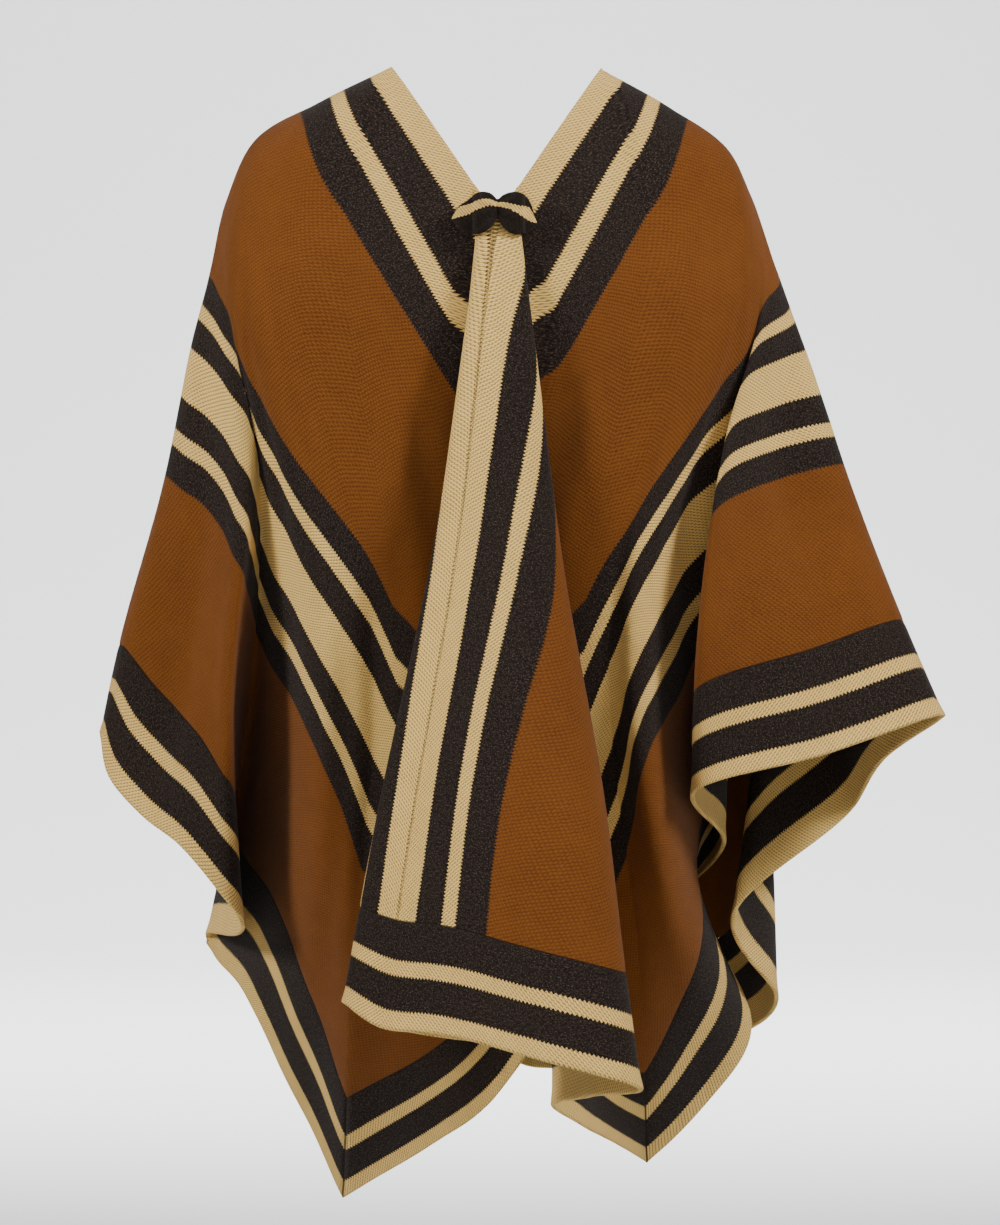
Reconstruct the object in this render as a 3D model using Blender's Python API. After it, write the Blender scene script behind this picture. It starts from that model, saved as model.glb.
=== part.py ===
"""Andean poncho, hollow as it is worn: two woven panels, four border strips with mitred corners, and a
small tab over the foot of the neck slit.

Metres, +Z up.  The front faces -Y, and the wearer's right arm is at -X.  The origin lies between the
two shoulders, at the height of the neck opening's upper ends.

The cloth is measured in its own cut.  u runs across it from the centre seam and v runs along it, from
0 on the shoulders to the front hem (plus) and to the back hem (minus).  Fold lines run from the
neckline to the cut edge.  Each has a row in a table, and the cloth is lofted from one to the next all
the way round.
"""
import math
from collections import namedtuple

import bmesh
import bpy
import numpy as np

# ---------------------------------------------------------------- the cut of the cloth
HALF_WIDTH = 0.76       # centre seam to side edge
HALF_LENGTH = 0.96      # shoulder line to front or back hem
SLIT = 0.175            # shoulder line to the foot of the neck slit
BORDER = 0.102          # width of the sewn-on border
WALL = 0.0025           # thick, felted cloth
SEAM_GAP = 0.0003       # between pieces that are sewn together
MOST_MITRE = 1.8        # how much thicker than the wall a sharp fold may be, from crest to crest

# ---------------------------------------------------------------- how it hangs
NECK_HALF = 0.100       # origin to where the slit crosses each shoulder
SLIT_FOOT_HALF = 0.010  # half the width to which the foot of the slit is gathered
SLIT_FOOT_DROP = 0.135  # how far the foot of the slit lies below the shoulders
PLEAT_LIFT = 0.014      # how far the gathered pleat stands off the chest there

PLEAT_TOP = 0.012       # neckline that the gathered pleat takes up, from the foot of the slit
RESTS_WITHIN = 0.010    # and the neckline beside it where the cloth comes to rest on the shoulder

RIDGE = 0.012           # how roundly the cloth turns over the shoulder
RIDGE_DEPTH = 0.006
SLIT_FALL = math.hypot(SLIT, RIDGE) - RIDGE

# From a point on the shoulder the cloth leads inwards and down, and off the body to the front or back.
# The way off falls away with the distance: it ends near `off`, and most of it is made within `within`.
# What the way off takes up is saved, in part, from the way down.
Slope = namedtuple("Slope", "inwards down off within saved")
BESIDE_SLIT = Slope((NECK_HALF - SLIT_FOOT_HALF) / SLIT_FALL, SLIT_FOOT_DROP / SLIT_FALL, 0.095, 0.170, 0.0)
OVER_ARM = Slope(0.15, 0.88, 0.085, 0.085, 0.35)
ARM_START = 0.22        # u where the shoulder has turned into the arm
CM = 0.01
YOKE = 0.16             # share of a fold line that rests on the shoulder
LEVELS = (0.0, YOKE, 0.40, 0.75, 1.0)   # neckline, yoke, chest, belly and cut edge
STEADY_LIMIT = 2.5      # most that a steady curve runs steeper than the gentler side of a knot
ARM_STEP = 0.004        # step along u over which the arm's direction is read
OFF_STEP = 0.001        # step along v over which the way off the shoulder is read
FINE_STEPS = 2000       # steps in which the ring is searched for a top on the shoulder

# ---------------------------------------------------------------- mesh
COLUMN = 0.055          # cut edge between two columns of faces, at most
PANEL_ROWS = 13
BAND_ROWS = 4
TOP_CROWDING = 1.25     # rows lie closer together over the shoulders

# Cloth laid over the shoulder and arm, along v = 0: cut position u, then x outwards, y and z.
Shoulder = namedtuple("Shoulder", "u x y z")
RIGHT_ARM_LINE = (      # the wearer's right arm, at -X
    Shoulder(0.000, 10.0, 0.0, 0.0),
    Shoulder(0.080, 17.0, 0.0, -3.5),
    Shoulder(0.150, 23.0, 0.0, -7.0),
    Shoulder(0.205, 25.5, -0.5, -12.0),
    Shoulder(0.285, 27.0, -1.0, -19.5),
    Shoulder(0.360, 29.0, -1.5, -26.5),
    Shoulder(0.465, 31.0, -2.5, -37.0),
    Shoulder(0.613, 34.5, -4.0, -51.5),
    Shoulder(0.760, 37.5, -6.0, -64.0),
)
LEFT_ARM_LINE = (       # the wearer's left arm, at +X, held a little higher
    Shoulder(0.000, 10.0, 0.0, -0.3),
    Shoulder(0.080, 16.5, 0.0, -4.0),
    Shoulder(0.150, 22.0, 0.0, -8.0),
    Shoulder(0.190, 23.7, 0.0, -11.2),
    Shoulder(0.250, 25.5, -0.5, -16.5),
    Shoulder(0.320, 27.7, -1.0, -23.0),
    Shoulder(0.400, 30.5, -2.0, -30.5),
    Shoulder(0.514, 33.7, -4.0, -40.5),
    Shoulder(0.760, 42.0, -9.0, -62.0),
)

# Fold lines.  top: distance along the neckline from the foot of the slit, then out along the shoulder.
# edge: distance along the cut edge from the centre seam, round the corner at 76 to the cuff at 172.
# chest, belly, hem: where the line passes at those levels, as x, y, z.  Everything is in centimetres.
Fold = namedtuple("Fold", "name top edge chest belly hem")
SEAM_FRONT = Fold("seam, front", 0, 0, (-3.4, -16.5, -44.6), (-7.6, -26, -71), (-10.2, -32, -89))
SEAM_BACK = Fold("seam, back", 0, 0, (2.2, 20.5, -41), (7, 29.5, -68), (10.5, 35.5, -87.5))
FRONT_RIGHT = (
    Fold("pleat, outer crest", 0.5, 6, (-5.4, -16, -44.8), (-10.6, -25.5, -70.5), (-13.5, -31, -86.9)),
    Fold("pleat, turned under", 0.9, 14, (-4.8, -12.9, -44.2), (-8.5, -20, -70), (-10.5, -24, -89.5)),
    Fold("pleat, underside", 1.3, 30, (-0.8, -12.4, -45.5), (1, -18, -71.5), (1.8, -19, -92)),
    Fold("valley under the pleat", 2, 42, (-0.4, -9.9, -47.2), (1.5, -11, -73), (3.2, -10, -93)),
    Fold("beside the pleat", 7, 50, (-2.9, -10.6, -47.3), (-1.2, -12, -76), (-0.6, -7, -98.5)),
    Fold("apron", 13, 60, (-7.3, -11.5, -45.9), (-4.3, -14, -79.4), (-5.5, -3, -102.5)),
    Fold("corner", 21, 76, (-12, -12.5, -50.7), (-13.6, -11, -86.8), (-15, 8, -109.5)),
    Fold("side crest", 25, 97, (-17.2, -12, -47.2), (-18.1, -10.5, -75.6), (-23, 2, -91.5)),
    Fold("valley by the arm", 28.5, 122, (-22, -7.9, -40.7), (-24.5, 3, -67), (-28.8, 13, -84.7)),
    Fold("sleeve crest", 34, 150, (-24.1, -8.5, -37), (-25.7, -10.5, -61.6), (-25.7, -11, -78.7)),
    Fold("sleeve front", 42, 161, (-27.5, -5.5, -38), (-29.2, -7, -58.6), (-32.3, -8, -71.6)),
)
FRONT_LEFT = (
    Fold("pleat, face", 0.4, 6, (-1.6, -17, -45.3), (-4.5, -27, -71.3), (-5.2, -33.5, -89.4)),
    Fold("pleat, middle", 0.7, 15, (1.6, -17.5, -45.8), (1.0, -28, -72.6), (2.8, -34.5, -91.3)),
    Fold("pleat, inner crest", 1.0, 24.5, (5.3, -16, -46.3), (9.3, -27, -74.6), (12.3, -33, -94.1)),
    Fold("pleat, turned under", 1.5, 38, (4.8, -12.8, -45.5), (9, -20.5, -72.8), (8.5, -24, -96)),
    Fold("valley under the pleat", 2.3, 52, (1.2, -9.9, -47), (5, -12, -75), (5.5, -12, -98.5)),
    Fold("beside the pleat", 8, 59, (3.6, -10.6, -48), (6.5, -10.5, -78), (8, -6, -100.8)),
    Fold("apron", 14, 66, (6.4, -11.5, -47.8), (8.5, -9.5, -81.5), (10.5, 0, -102.8)),
    Fold("corner", 21, 76, (10.9, -12, -49.9), (13.5, -8.5, -85.5), (14.5, 8, -106)),
    Fold("side crest", 25, 94, (14.1, -12.5, -46.9), (16.5, -12.5, -76.5), (24.5, 4, -93)),
    Fold("valley by the arm", 29, 112, (17.6, -9.3, -43.6), (19.2, -3, -70), (19, 13, -81)),
    Fold("inside the sleeve", 32, 128, (22.2, -6.2, -40.5), (22.2, -2.5, -60), (21.8, -1, -74.5)),
    Fold("sleeve crest", 36, 146, (21.8, -10.5, -35.4), (19.2, -15, -55), (18.8, -15.5, -68.5)),
    Fold("sleeve front", 42, 159, (26.1, -6.5, -36.4), (29.6, -10, -53), (30.3, -12.5, -65.6)),
)
BACK_RIGHT = (
    Fold("pleat, inner side", 0.5, 6, (0, 22, -41.5), (3, 32, -66), (5.5, 39, -86.5)),
    Fold("pleat, face", 1.2, 14, (-3.5, 21.5, -42), (-3, 32.5, -66.5), (-2, 39, -88)),
    Fold("pleat, crest", 2.5, 30, (-7.5, 19, -45), (-10.5, 27, -70.5), (-13, 32, -93)),
    Fold("valley by the pleat", 6, 42, (-6.5, 13, -47), (-8, 18, -75), (-9.5, 21, -97)),
    Fold("apron", 13, 60, (-11.5, 11, -47.5), (-8, 10, -82), (-5.5, 6.5, -100)),
    Fold("corner", 21, 76, (-17, 11, -50), (-17, 13, -86), (-14, 15, -102)),
    Fold("side crest", 25, 97, (-20.5, 12, -45), (-23, 22, -73), (-21, 31, -91)),
    Fold("valley by the arm", 29, 122, (-24, 9, -40), (-26.5, 13.5, -65), (-24.5, 17.5, -81.5)),
    Fold("behind the arm, crest", 32, 134, (-26.8, 9.5, -37.5), (-30, 18, -61), (-29.5, 26, -77)),
    Fold("sleeve back", 34, 147, (-28.8, 6, -36.5), (-32.8, 11.5, -58), (-33, 15, -72)),
    Fold("sleeve, upper back", 42, 160, (-30.8, 3, -37.5), (-34.8, 4, -56), (-36.5, 4.5, -67.5)),
)
BACK_LEFT = (
    Fold("pleat, outer crest", 0.5, 6, (3.8, 20.5, -42), (10, 28.5, -67), (14.5, 32.5, -88.5)),
    Fold("pleat, turned under", 1.0, 14, (2.5, 18, -42), (8, 24, -68), (11.5, 27, -90.5)),
    Fold("pleat, underside", 1.7, 30, (0.5, 14, -44.5), (0.5, 20, -71), (1, 21.5, -93.5)),
    Fold("valley under the pleat", 4, 42, (5, 10.5, -46.5), (2, 11, -75), (2, 10.5, -96.5)),
    Fold("apron", 13, 60, (11.5, 10.5, -47.5), (11, 15, -81.5), (11, 20, -98.5)),
    Fold("corner", 20, 76, (15.5, 10.5, -50.5), (15.5, 13.5, -85), (15, 14.5, -101.5)),
    Fold("beside the corner, crest", 22.5, 88, (18, 11.5, -47.5), (20, 20, -79.5), (18.5, 26.5, -98)),
    Fold("side crest", 25, 102, (20, 11, -45), (24, 17, -75), (25, 18.5, -94.5)),
    Fold("side valley", 29, 117, (22.5, 10, -40), (26.5, 11, -69), (27, 6, -89.5)),
    Fold("cuff, turned in", 35, 130, (24.5, 8, -38), (25, 6, -64), (22.5, -2, -82.5)),
    Fold("sleeve back", 42, 155, (28.3, 4, -36.5), (32.3, 5.2, -57), (35.2, 4.5, -70.5)),
)
CUFF_TOP = 50.0         # the last fold line lies on the arm: it leaves the shoulder here
CUFF_EDGE = 172.0       # and ends at the middle of the cuff

# ---------------------------------------------------------------- the tab over the foot of the slit
# A short strip, pinched in the middle like a bow.  Cut across, from the middle outwards to both sides:
# distance out, half its height, its depth from front to back, and how far its middle has dropped.
TabRing = namedtuple("TabRing", "out half_height depth drop")
TAB_RINGS = (
    TabRing(0.000, 0.0085, 0.0050, 0.0000),
    TabRing(0.004, 0.0095, 0.0055, 0.0010),
    TabRing(0.010, 0.0140, 0.0065, 0.0030),
    TabRing(0.019, 0.0185, 0.0070, 0.0050),
    TabRing(0.028, 0.0150, 0.0060, 0.0065),
    TabRing(0.036, 0.0095, 0.0045, 0.0090),
    TabRing(0.041, 0.0030, 0.0025, 0.0115),
)
TAB_SIDES = 16
TAB_X, TAB_Z = -0.002, -0.143
TAB_CLEARANCE = 0.0002  # between the tab and the cloth behind it
TAB_FEELERS = 7         # places up and down, and across, where a ring feels for the cloth behind it
SIGHT = 1.0             # the feelers start this far in front


def clear_scene():
    for thing in list(bpy.data.objects):
        bpy.data.objects.remove(thing, do_unlink=True)


def spline(knots, values, at, steady=False):
    """Smooth curve through values at the knots, read at the places `at`; a steady one never turns back."""
    knots = np.asarray(knots, float)
    values = np.asarray(values, float).reshape(len(knots), -1)
    steps = np.diff(knots)[:, None]
    slopes = np.diff(values, axis=0) / steps
    tangents = np.empty_like(values)
    tangents[1:-1] = (slopes[:-1] * steps[1:] + slopes[1:] * steps[:-1]) / (steps[:-1] + steps[1:])
    tangents[0] = 1.5 * slopes[0] - 0.5 * tangents[1]
    tangents[-1] = 1.5 * slopes[-1] - 0.5 * tangents[-2]
    if steady:
        limit = STEADY_LIMIT * np.minimum(np.abs(slopes[:-1]), np.abs(slopes[1:]))
        tangents[1:-1] = np.clip(tangents[1:-1], -limit, limit)
    return hermite(knots, values, tangents, at)


def hermite(knots, values, tangents, at):
    at = np.atleast_1d(np.asarray(at, float))
    span = np.clip(np.searchsorted(knots, at, side="right") - 1, 0, len(knots) - 2)
    step = (knots[span + 1] - knots[span])[:, None]
    share = ((at - knots[span]) / step[:, 0])[:, None]
    square, cube = share ** 2, share ** 3
    return ((2 * cube - 3 * square + 1) * values[span]
            + (cube - 2 * square + share) * step * tangents[span]
            + (3 * square - 2 * cube) * values[span + 1]
            + (cube - square) * step * tangents[span + 1])


def arm_line(side, u):
    """Where the cloth lies over the shoulder and arm: side -1 is the wearer's right."""
    rows = RIGHT_ARM_LINE if side < 0 else LEFT_ARM_LINE
    places = [(side * row.x * CM, row.y * CM, row.z * CM) for row in rows]
    return spline([row.u for row in rows], places, u)


def arm_direction(side, u):
    return (arm_line(side, u + ARM_STEP) - arm_line(side, u - ARM_STEP)) / (2 * ARM_STEP)


# ---------------------------------------------------------------- the ring of fold lines
QUARTER = HALF_WIDTH + HALF_LENGTH      # cut edge from a centre seam to the middle of a cuff
RING = 4 * QUARTER
CORNERS = (HALF_WIDTH, 2 * QUARTER - HALF_WIDTH, 2 * QUARTER + HALF_WIDTH, RING - HALF_WIDTH)


def cuff_fold(side):
    start = CUFF_TOP * CM - SLIT
    levels = [start + (HALF_WIDTH - start) * level for level in LEVELS[2:]]
    places = [tuple(arm_line(side, u)[0] / CM) for u in levels]
    return Fold("on the arm", CUFF_TOP, CUFF_EDGE, *places)


def fold_ring():
    """(distance round the cut edge, fold) from the front seam by the wearer's right, all the way round."""
    ring = [(0.0, SEAM_FRONT)]
    ring += [(fold.edge * CM, fold) for fold in FRONT_RIGHT]
    ring += [(QUARTER, cuff_fold(-1))]
    ring += [(2 * QUARTER - fold.edge * CM, fold) for fold in reversed(BACK_RIGHT)]
    ring += [(2 * QUARTER, SEAM_BACK)]
    ring += [(2 * QUARTER + fold.edge * CM, fold) for fold in BACK_LEFT]
    ring += [(3 * QUARTER, cuff_fold(1))]
    ring += [(RING - fold.edge * CM, fold) for fold in reversed(FRONT_LEFT)]
    return ring


FOLD_RING = fold_ring()


def round_the_ring(values_of, at, steady=False):
    """One column of the table read between the folds, smooth along each side and bent at each corner."""
    knots = np.array([place for place, _ in FOLD_RING] + [RING])
    values = np.array([values_of(place, fold) for place, fold in FOLD_RING], float)
    values = values.reshape(len(FOLD_RING), -1)
    values = np.concatenate([values, values[:1]])
    at = np.asarray(at, float)
    read = np.empty((len(at), values.shape[1]))
    front = (at <= CORNERS[0]) | (at >= CORNERS[3])
    turned = np.where(at >= CORNERS[3], at - RING, at)
    head = knots <= CORNERS[0]
    tail = (knots >= CORNERS[3]) & (knots < RING)
    read[front] = spline(np.concatenate([knots[tail] - RING, knots[head]]),
                         np.concatenate([values[tail], values[head]]), turned[front], steady)
    for near, far in zip(CORNERS[:-1], CORNERS[1:]):
        here = (at > near) & (at <= far)
        rows = (knots >= near) & (knots <= far)
        read[here] = spline(knots[rows], values[rows], at[here], steady)
    return read


def cut_edge(place):
    """u and v on the cut edge, at a distance round it from the front seam."""
    corners = [0, HALF_WIDTH, HALF_WIDTH + 2 * HALF_LENGTH, 3 * HALF_WIDTH + 2 * HALF_LENGTH,
               3 * HALF_WIDTH + 4 * HALF_LENGTH, RING]
    u = np.interp(place, corners, [0, -HALF_WIDTH, -HALF_WIDTH, HALF_WIDTH, HALF_WIDTH, 0])
    v = np.interp(place, corners, [HALF_LENGTH, HALF_LENGTH, -HALF_LENGTH, -HALF_LENGTH,
                                   HALF_LENGTH, HALF_LENGTH])
    return np.stack([u, v], axis=-1)


def border_line(place):
    """u and v where the border meets the panels."""
    shrink = np.array([(HALF_WIDTH - BORDER) / HALF_WIDTH, (HALF_LENGTH - BORDER) / HALF_LENGTH])
    return cut_edge(place) * shrink


def border_share(place, fold):
    """How far down its fold line the border begins."""
    start_u = max(fold.top * CM - SLIT, 0.0)
    start_v = max(SLIT - fold.top * CM, 0.0)
    by_length = (HALF_LENGTH - BORDER - start_v) / (HALF_LENGTH - start_v)
    by_width = (HALF_WIDTH - BORDER - start_u) / (HALF_WIDTH - start_u)
    corner = HALF_WIDTH / CM
    if fold.edge == corner:
        return (by_length + by_width) / 2
    return by_length if fold.edge < corner else by_width


def sides_of(place):
    """Signs of x and of v at a distance round the cut edge."""
    side = np.where(place < 2 * QUARTER, -1, 1)
    facing = np.where((place < QUARTER) | (place > 3 * QUARTER), 1, -1)
    return side, facing


def off_shoulder(side, facing, u, v):
    """From the shoulder at u, the way to the cloth at a distance v before or behind it."""
    to_arm = np.clip(u / ARM_START, 0.0, 1.0)[:, None]
    fall = np.hypot(v, RIDGE) - RIDGE
    over_ridge = RIDGE_DEPTH * (1 - np.exp(-v / RIDGE))
    ways = []
    for slope in (BESIDE_SLIT, OVER_ARM):
        off = slope.off * (1 - np.exp(-v / slope.within))
        ways.append(np.stack([-side * slope.inwards * fall, -facing * (off + over_ridge),
                              slope.saved * off - slope.down * fall], axis=-1))
    return ways[0] * (1 - to_arm) + ways[1] * to_arm


def slit_edge(side, facing, top):
    """Edge of the neck slit, from its gathered foot up to the shoulder."""
    zero = np.zeros_like(top)
    point = off_shoulder(side, facing, zero, np.clip(SLIT - top, 0.0, None))
    point[:, 0] = side * (NECK_HALF + side * point[:, 0])
    gathered = np.clip(1 - top / (2 * SLIT_FOOT_HALF), 0.0, 1.0)
    point[:, 0] -= side * SLIT_FOOT_HALF * np.clip(1 - top / SLIT_FOOT_HALF, 0.0, 1.0)
    point[:, 1] -= facing * PLEAT_LIFT * gathered
    return point


def on_arm_line(side, u, read=arm_line):
    return np.where((side < 0)[:, None], read(-1, u), read(1, u))


def cloth(place, top, share):
    """Points of the cloth and their u, v.

    Each line has a place round the cut edge and a top on the neckline; share is down the line.
    """
    place = np.asarray(place, float) % RING
    share = np.asarray(share, float)
    side, facing = sides_of(place)
    border = border_shares(place)
    inner = border_line(place)
    edge = cut_edge(place)

    # The neckline: along the slit, then out along the shoulder.
    start_u = np.clip(top - SLIT, 0.0, None)
    start_v = np.clip(SLIT - top, 0.0, None)
    start = np.stack([side * start_u, facing * start_v], axis=-1)
    neck = np.where((top < SLIT)[:, None], slit_edge(side, facing, top), on_arm_line(side, start_u))
    course = (inner - start) / border[:, None]
    leaving = (np.abs(course[:, :1]) * on_arm_line(side, start_u, arm_direction)
               + np.abs(course[:, 1:]) * (off_shoulder(side, facing, start_u, start_v + OFF_STEP)
                                          - off_shoulder(side, facing, start_u, start_v)) / OFF_STEP)

    # Chest, belly and cut edge, from the table.
    chest, belly, hem = [
        round_the_ring(lambda _, fold: [c * CM for c in getattr(fold, column)], place)
        for column in ("chest", "belly", "hem")]

    # Between the neckline and the chest the cloth first lies on the shoulder.  The pleat never does.
    resting = np.clip((top - PLEAT_TOP) / RESTS_WITHIN, 0.0, 1.0)[:, None]
    resting = resting * resting * (3 - 2 * resting)
    u = start_u + np.abs(course[:, 0]) * YOKE
    v = start_v + np.abs(course[:, 1]) * YOKE
    laid = on_arm_line(side, u) + off_shoulder(side, facing, u, v)
    hung = neck + (chest - neck) * YOKE / LEVELS[2]
    yoke = laid * resting + hung * (1 - resting)

    rings = np.stack([neck, yoke, chest, belly, hem], axis=1)
    levels = np.array(LEVELS)
    steps = np.diff(levels)[None, :, None]
    slopes = np.diff(rings, axis=1) / steps
    tangents = np.empty_like(rings)
    tangents[:, 1:-1] = ((slopes[:, :-1] * steps[:, 1:] + slopes[:, 1:] * steps[:, :-1])
                         / (steps[:, :-1] + steps[:, 1:]))
    tangents[:, 0] = leaving * resting + (1.5 * slopes[:, 0] - 0.5 * tangents[:, 1]) * (1 - resting)
    tangents[:, -1] = 1.5 * slopes[:, -1] - 0.5 * tangents[:, -2]

    columns, rows = share.shape
    points = np.empty((columns, rows, 3))
    for column in range(columns):
        points[column] = hermite(levels, rings[column], tangents[column], share[column])

    inside = np.clip(share / border[:, None], 0.0, 1.0)[..., None]
    outside = np.clip((share - border[:, None]) / (1 - border[:, None]), 0.0, 1.0)[..., None]
    cut = start[:, None] + (inner - start)[:, None] * inside + (edge - inner)[:, None] * outside
    return points, cut


def tops(place):
    """Where on the neckline each fold line starts."""
    return np.clip(round_the_ring(lambda _, fold: fold.top * CM, place, steady=True)[:, 0], 0.0, None)


def border_shares(place):
    return round_the_ring(border_share, np.asarray(place, float) % RING)[:, 0]


# ---------------------------------------------------------------- pieces
OUTSIDE, INSIDE = 1, -1


def material(name, colour, roughness):
    made = bpy.data.materials.new(name)
    made.use_nodes = True
    shader = made.node_tree.nodes["Principled BSDF"]
    shader.inputs["Base Color"].default_value = (*colour, 1.0)
    shader.inputs["Roughness"].default_value = roughness
    shader.inputs["Metallic"].default_value = 0.0
    return made


def link(mesh, name, finish, collection):
    piece = bpy.data.objects.new(name, mesh)
    mesh.materials.append(finish)
    collection.objects.link(piece)
    return piece


def divided(stops, counts):
    """The stops, with each interval cut into its count of equal steps."""
    steps = [np.linspace(near, far, count, endpoint=False)
             for near, far, count in zip(stops[:-1], stops[1:], counts)]
    return np.concatenate(steps + [[stops[-1]]])


def round_edge(facing, side, out):
    """Distance round the cut edge, from a distance `out` of the centre seam before or behind."""
    if facing > 0:
        return out if side < 0 else RING - out
    return 2 * QUARTER + side * out


def side_columns(side):
    """Columns of one side of the cloth, from seam to seam: places round the cut edge, and their tops.

    Beside the slit a column stands on every fold line.  On the shoulder, the columns before and behind it
    start at the same points, because the cloth runs on there.
    """
    tables = {1: FRONT_RIGHT, -1: BACK_RIGHT} if side < 0 else {1: FRONT_LEFT, -1: BACK_LEFT}
    shoulder = sorted({SLIT, CUFF_TOP * CM}
                      | {fold.top * CM for table in tables.values() for fold in table if fold.top * CM > SLIT})
    finely = {facing: np.union1d(np.linspace(0, QUARTER, FINE_STEPS), [fold.edge * CM for fold in tables[facing]])
              for facing in tables}
    starts = {facing: tops(round_edge(facing, side, finely[facing])) for facing in tables}
    reach = [np.diff(np.interp(shoulder, starts[facing], finely[facing])) for facing in tables]
    counts = [math.ceil(step / COLUMN) for step in np.maximum(*reach)]
    stations = divided(shoulder, counts)
    halves = {}
    for facing, table in tables.items():
        first = np.interp(SLIT, starts[facing], finely[facing])
        stops = [0.0] + [fold.edge * CM for fold in table if fold.top * CM < SLIT] + [first]
        beside = divided(stops, [math.ceil((far - near) / COLUMN) for near, far in zip(stops, stops[1:])])
        over = np.interp(stations, starts[facing], finely[facing])
        places = round_edge(facing, side, np.concatenate([beside[:-1], over]))
        halves[facing] = places, np.concatenate([tops(places[:len(beside) - 1]), stations])
    first, last = (halves[1], halves[-1]) if side < 0 else (halves[-1], halves[1])
    return [np.concatenate([near, far[-2::-1]]) for near, far in zip(first, last)]


def piece_of(place, row):
    """The piece that a face of the cloth belongs to: its place is round the edge, its row down the fold."""
    if row < PANEL_ROWS:
        return "panel_right" if place < 2 * QUARTER else "panel_left"
    if CORNERS[0] < place < CORNERS[1]:
        return "band_side_right"
    if CORNERS[1] < place < CORNERS[2]:
        return "band_back"
    return "band_side_left" if CORNERS[2] < place < CORNERS[3] else "band_front"


def cloth_faces():
    """Corners of the whole cloth, its normals there, and the faces of each piece."""
    numbers, corners, patches = {}, [], {}
    for side in (-1, 1):
        places, starts = side_columns(side)
        border = border_shares(places)[:, None]
        panel_rows = (np.arange(PANEL_ROWS) / PANEL_ROWS) ** TOP_CROWDING
        band_rows = np.arange(BAND_ROWS + 1) / BAND_ROWS
        shares = np.concatenate([border * panel_rows, border + (1 - border) * band_rows], axis=1)
        points, _ = cloth(places, starts, shares)
        grid = np.empty(points.shape[:2], int)
        for column, row in np.ndindex(grid.shape):
            spot = tuple(np.round(points[column, row], 6))
            if spot not in numbers:
                numbers[spot] = len(corners)
                corners.append(points[column, row])
            grid[column, row] = numbers[spot]
        for column, row in np.ndindex(grid.shape[0] - 1, grid.shape[1] - 1):
            middle = (places[column] + places[column + 1]) / 2
            face = (grid[column, row], grid[column, row + 1], grid[column + 1, row + 1], grid[column + 1, row])
            patches.setdefault(piece_of(middle, row), []).append(tuple(dict.fromkeys(face)))
    corners = np.array(corners)
    ways = ways_out(corners, [face for patch in patches.values() for face in patch])
    return corners, ways, {name: triangles(corners, patch) for name, patch in patches.items()}


def triangles(corners, faces):
    """Each four-sided face cut in two across its shorter diagonal."""
    cut = []
    for face in faces:
        if len(face) == 3:
            cut.append(face)
            continue
        a, b, c, d = face
        if np.linalg.norm(corners[a] - corners[c]) < np.linalg.norm(corners[b] - corners[d]):
            cut += [(a, b, c), (a, c, d)]
        else:
            cut += [(a, b, d), (b, c, d)]
    return cut


def ways_out(corners, faces):
    """At each corner the way out of the cloth, longer on a sharp fold so that the wall keeps its thickness."""
    faces_at = [[] for _ in corners]
    for face in faces:
        normal = np.cross(corners[face[2]] - corners[face[0]], corners[face[-1]] - corners[face[1]])
        for corner in face:
            faces_at[corner].append(normal / np.linalg.norm(normal))
    ways = []
    for normals in faces_at:
        middle = np.mean(normals, axis=0)
        middle /= np.linalg.norm(middle)
        squareness = np.mean(normals @ middle)
        ways.append(middle / max(squareness, 1 / MOST_MITRE))
    return np.array(ways)


def cloth_piece(name, corners, ways, patch, finish, collection):
    """A piece of cloth: its face, its inside WALL behind it, and a rim clear of its neighbours' seams."""
    sides = {}
    for face in patch:
        for near, far in zip(face, face[1:] + face[:1]):
            sides[near, far] = face
    rim = [edge for edge in sides if edge[::-1] not in sides]
    inwards = {}
    for edge in rim:
        along = corners[edge[1]] - corners[edge[0]]
        into = np.mean(corners[list(sides[edge])], axis=0) - corners[edge[0]]
        into -= along * (into @ along) / (along @ along)
        for corner in edge:
            inwards.setdefault(corner, []).append(into / np.linalg.norm(into))
    skin = {}
    for corner in {corner for face in patch for corner in face}:
        point = corners[corner] + np.mean(inwards.get(corner, [np.zeros(3)]), axis=0) * SEAM_GAP / 2
        skin[corner, OUTSIDE] = point + ways[corner] * WALL / 2
        skin[corner, INSIDE] = point - ways[corner] * WALL / 2
    faces = [[(corner, OUTSIDE) for corner in face] for face in patch]
    faces += [[(corner, INSIDE) for corner in reversed(face)] for face in patch]
    faces += triangles(skin, [((far, OUTSIDE), (near, OUTSIDE), (near, INSIDE), (far, INSIDE))
                              for near, far in rim])
    return solid(name, skin, faces, finish, collection)


def solid(name, points, faces, finish, collection):
    """A closed solid: points by key, and faces as rounds of keys."""
    bm = bmesh.new()
    corners = {key: bm.verts.new(point) for key, point in points.items()}
    for face in faces:
        bm.faces.new([corners[key] for key in face])
    bmesh.ops.recalc_face_normals(bm, faces=bm.faces)
    mesh = bpy.data.meshes.new(name)
    bm.to_mesh(mesh)
    bm.free()
    mesh.shade_smooth()
    return link(mesh, name, finish, collection)


def ring_solid(name, rings, finish, collection):
    """A closed solid through rings of equal count, with flat ends."""
    points = {(ring, corner): point for ring, loop in enumerate(rings) for corner, point in enumerate(loop)}
    count = len(rings[0])
    faces = [[(ring, corner), (ring, (corner + 1) % count), (ring + 1, (corner + 1) % count), (ring + 1, corner)]
             for ring in range(len(rings) - 1) for corner in range(count)]
    faces += [[(ring, corner) for corner in range(count)] for ring in (0, len(rings) - 1)]
    return solid(name, points, faces, finish, collection)


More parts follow.
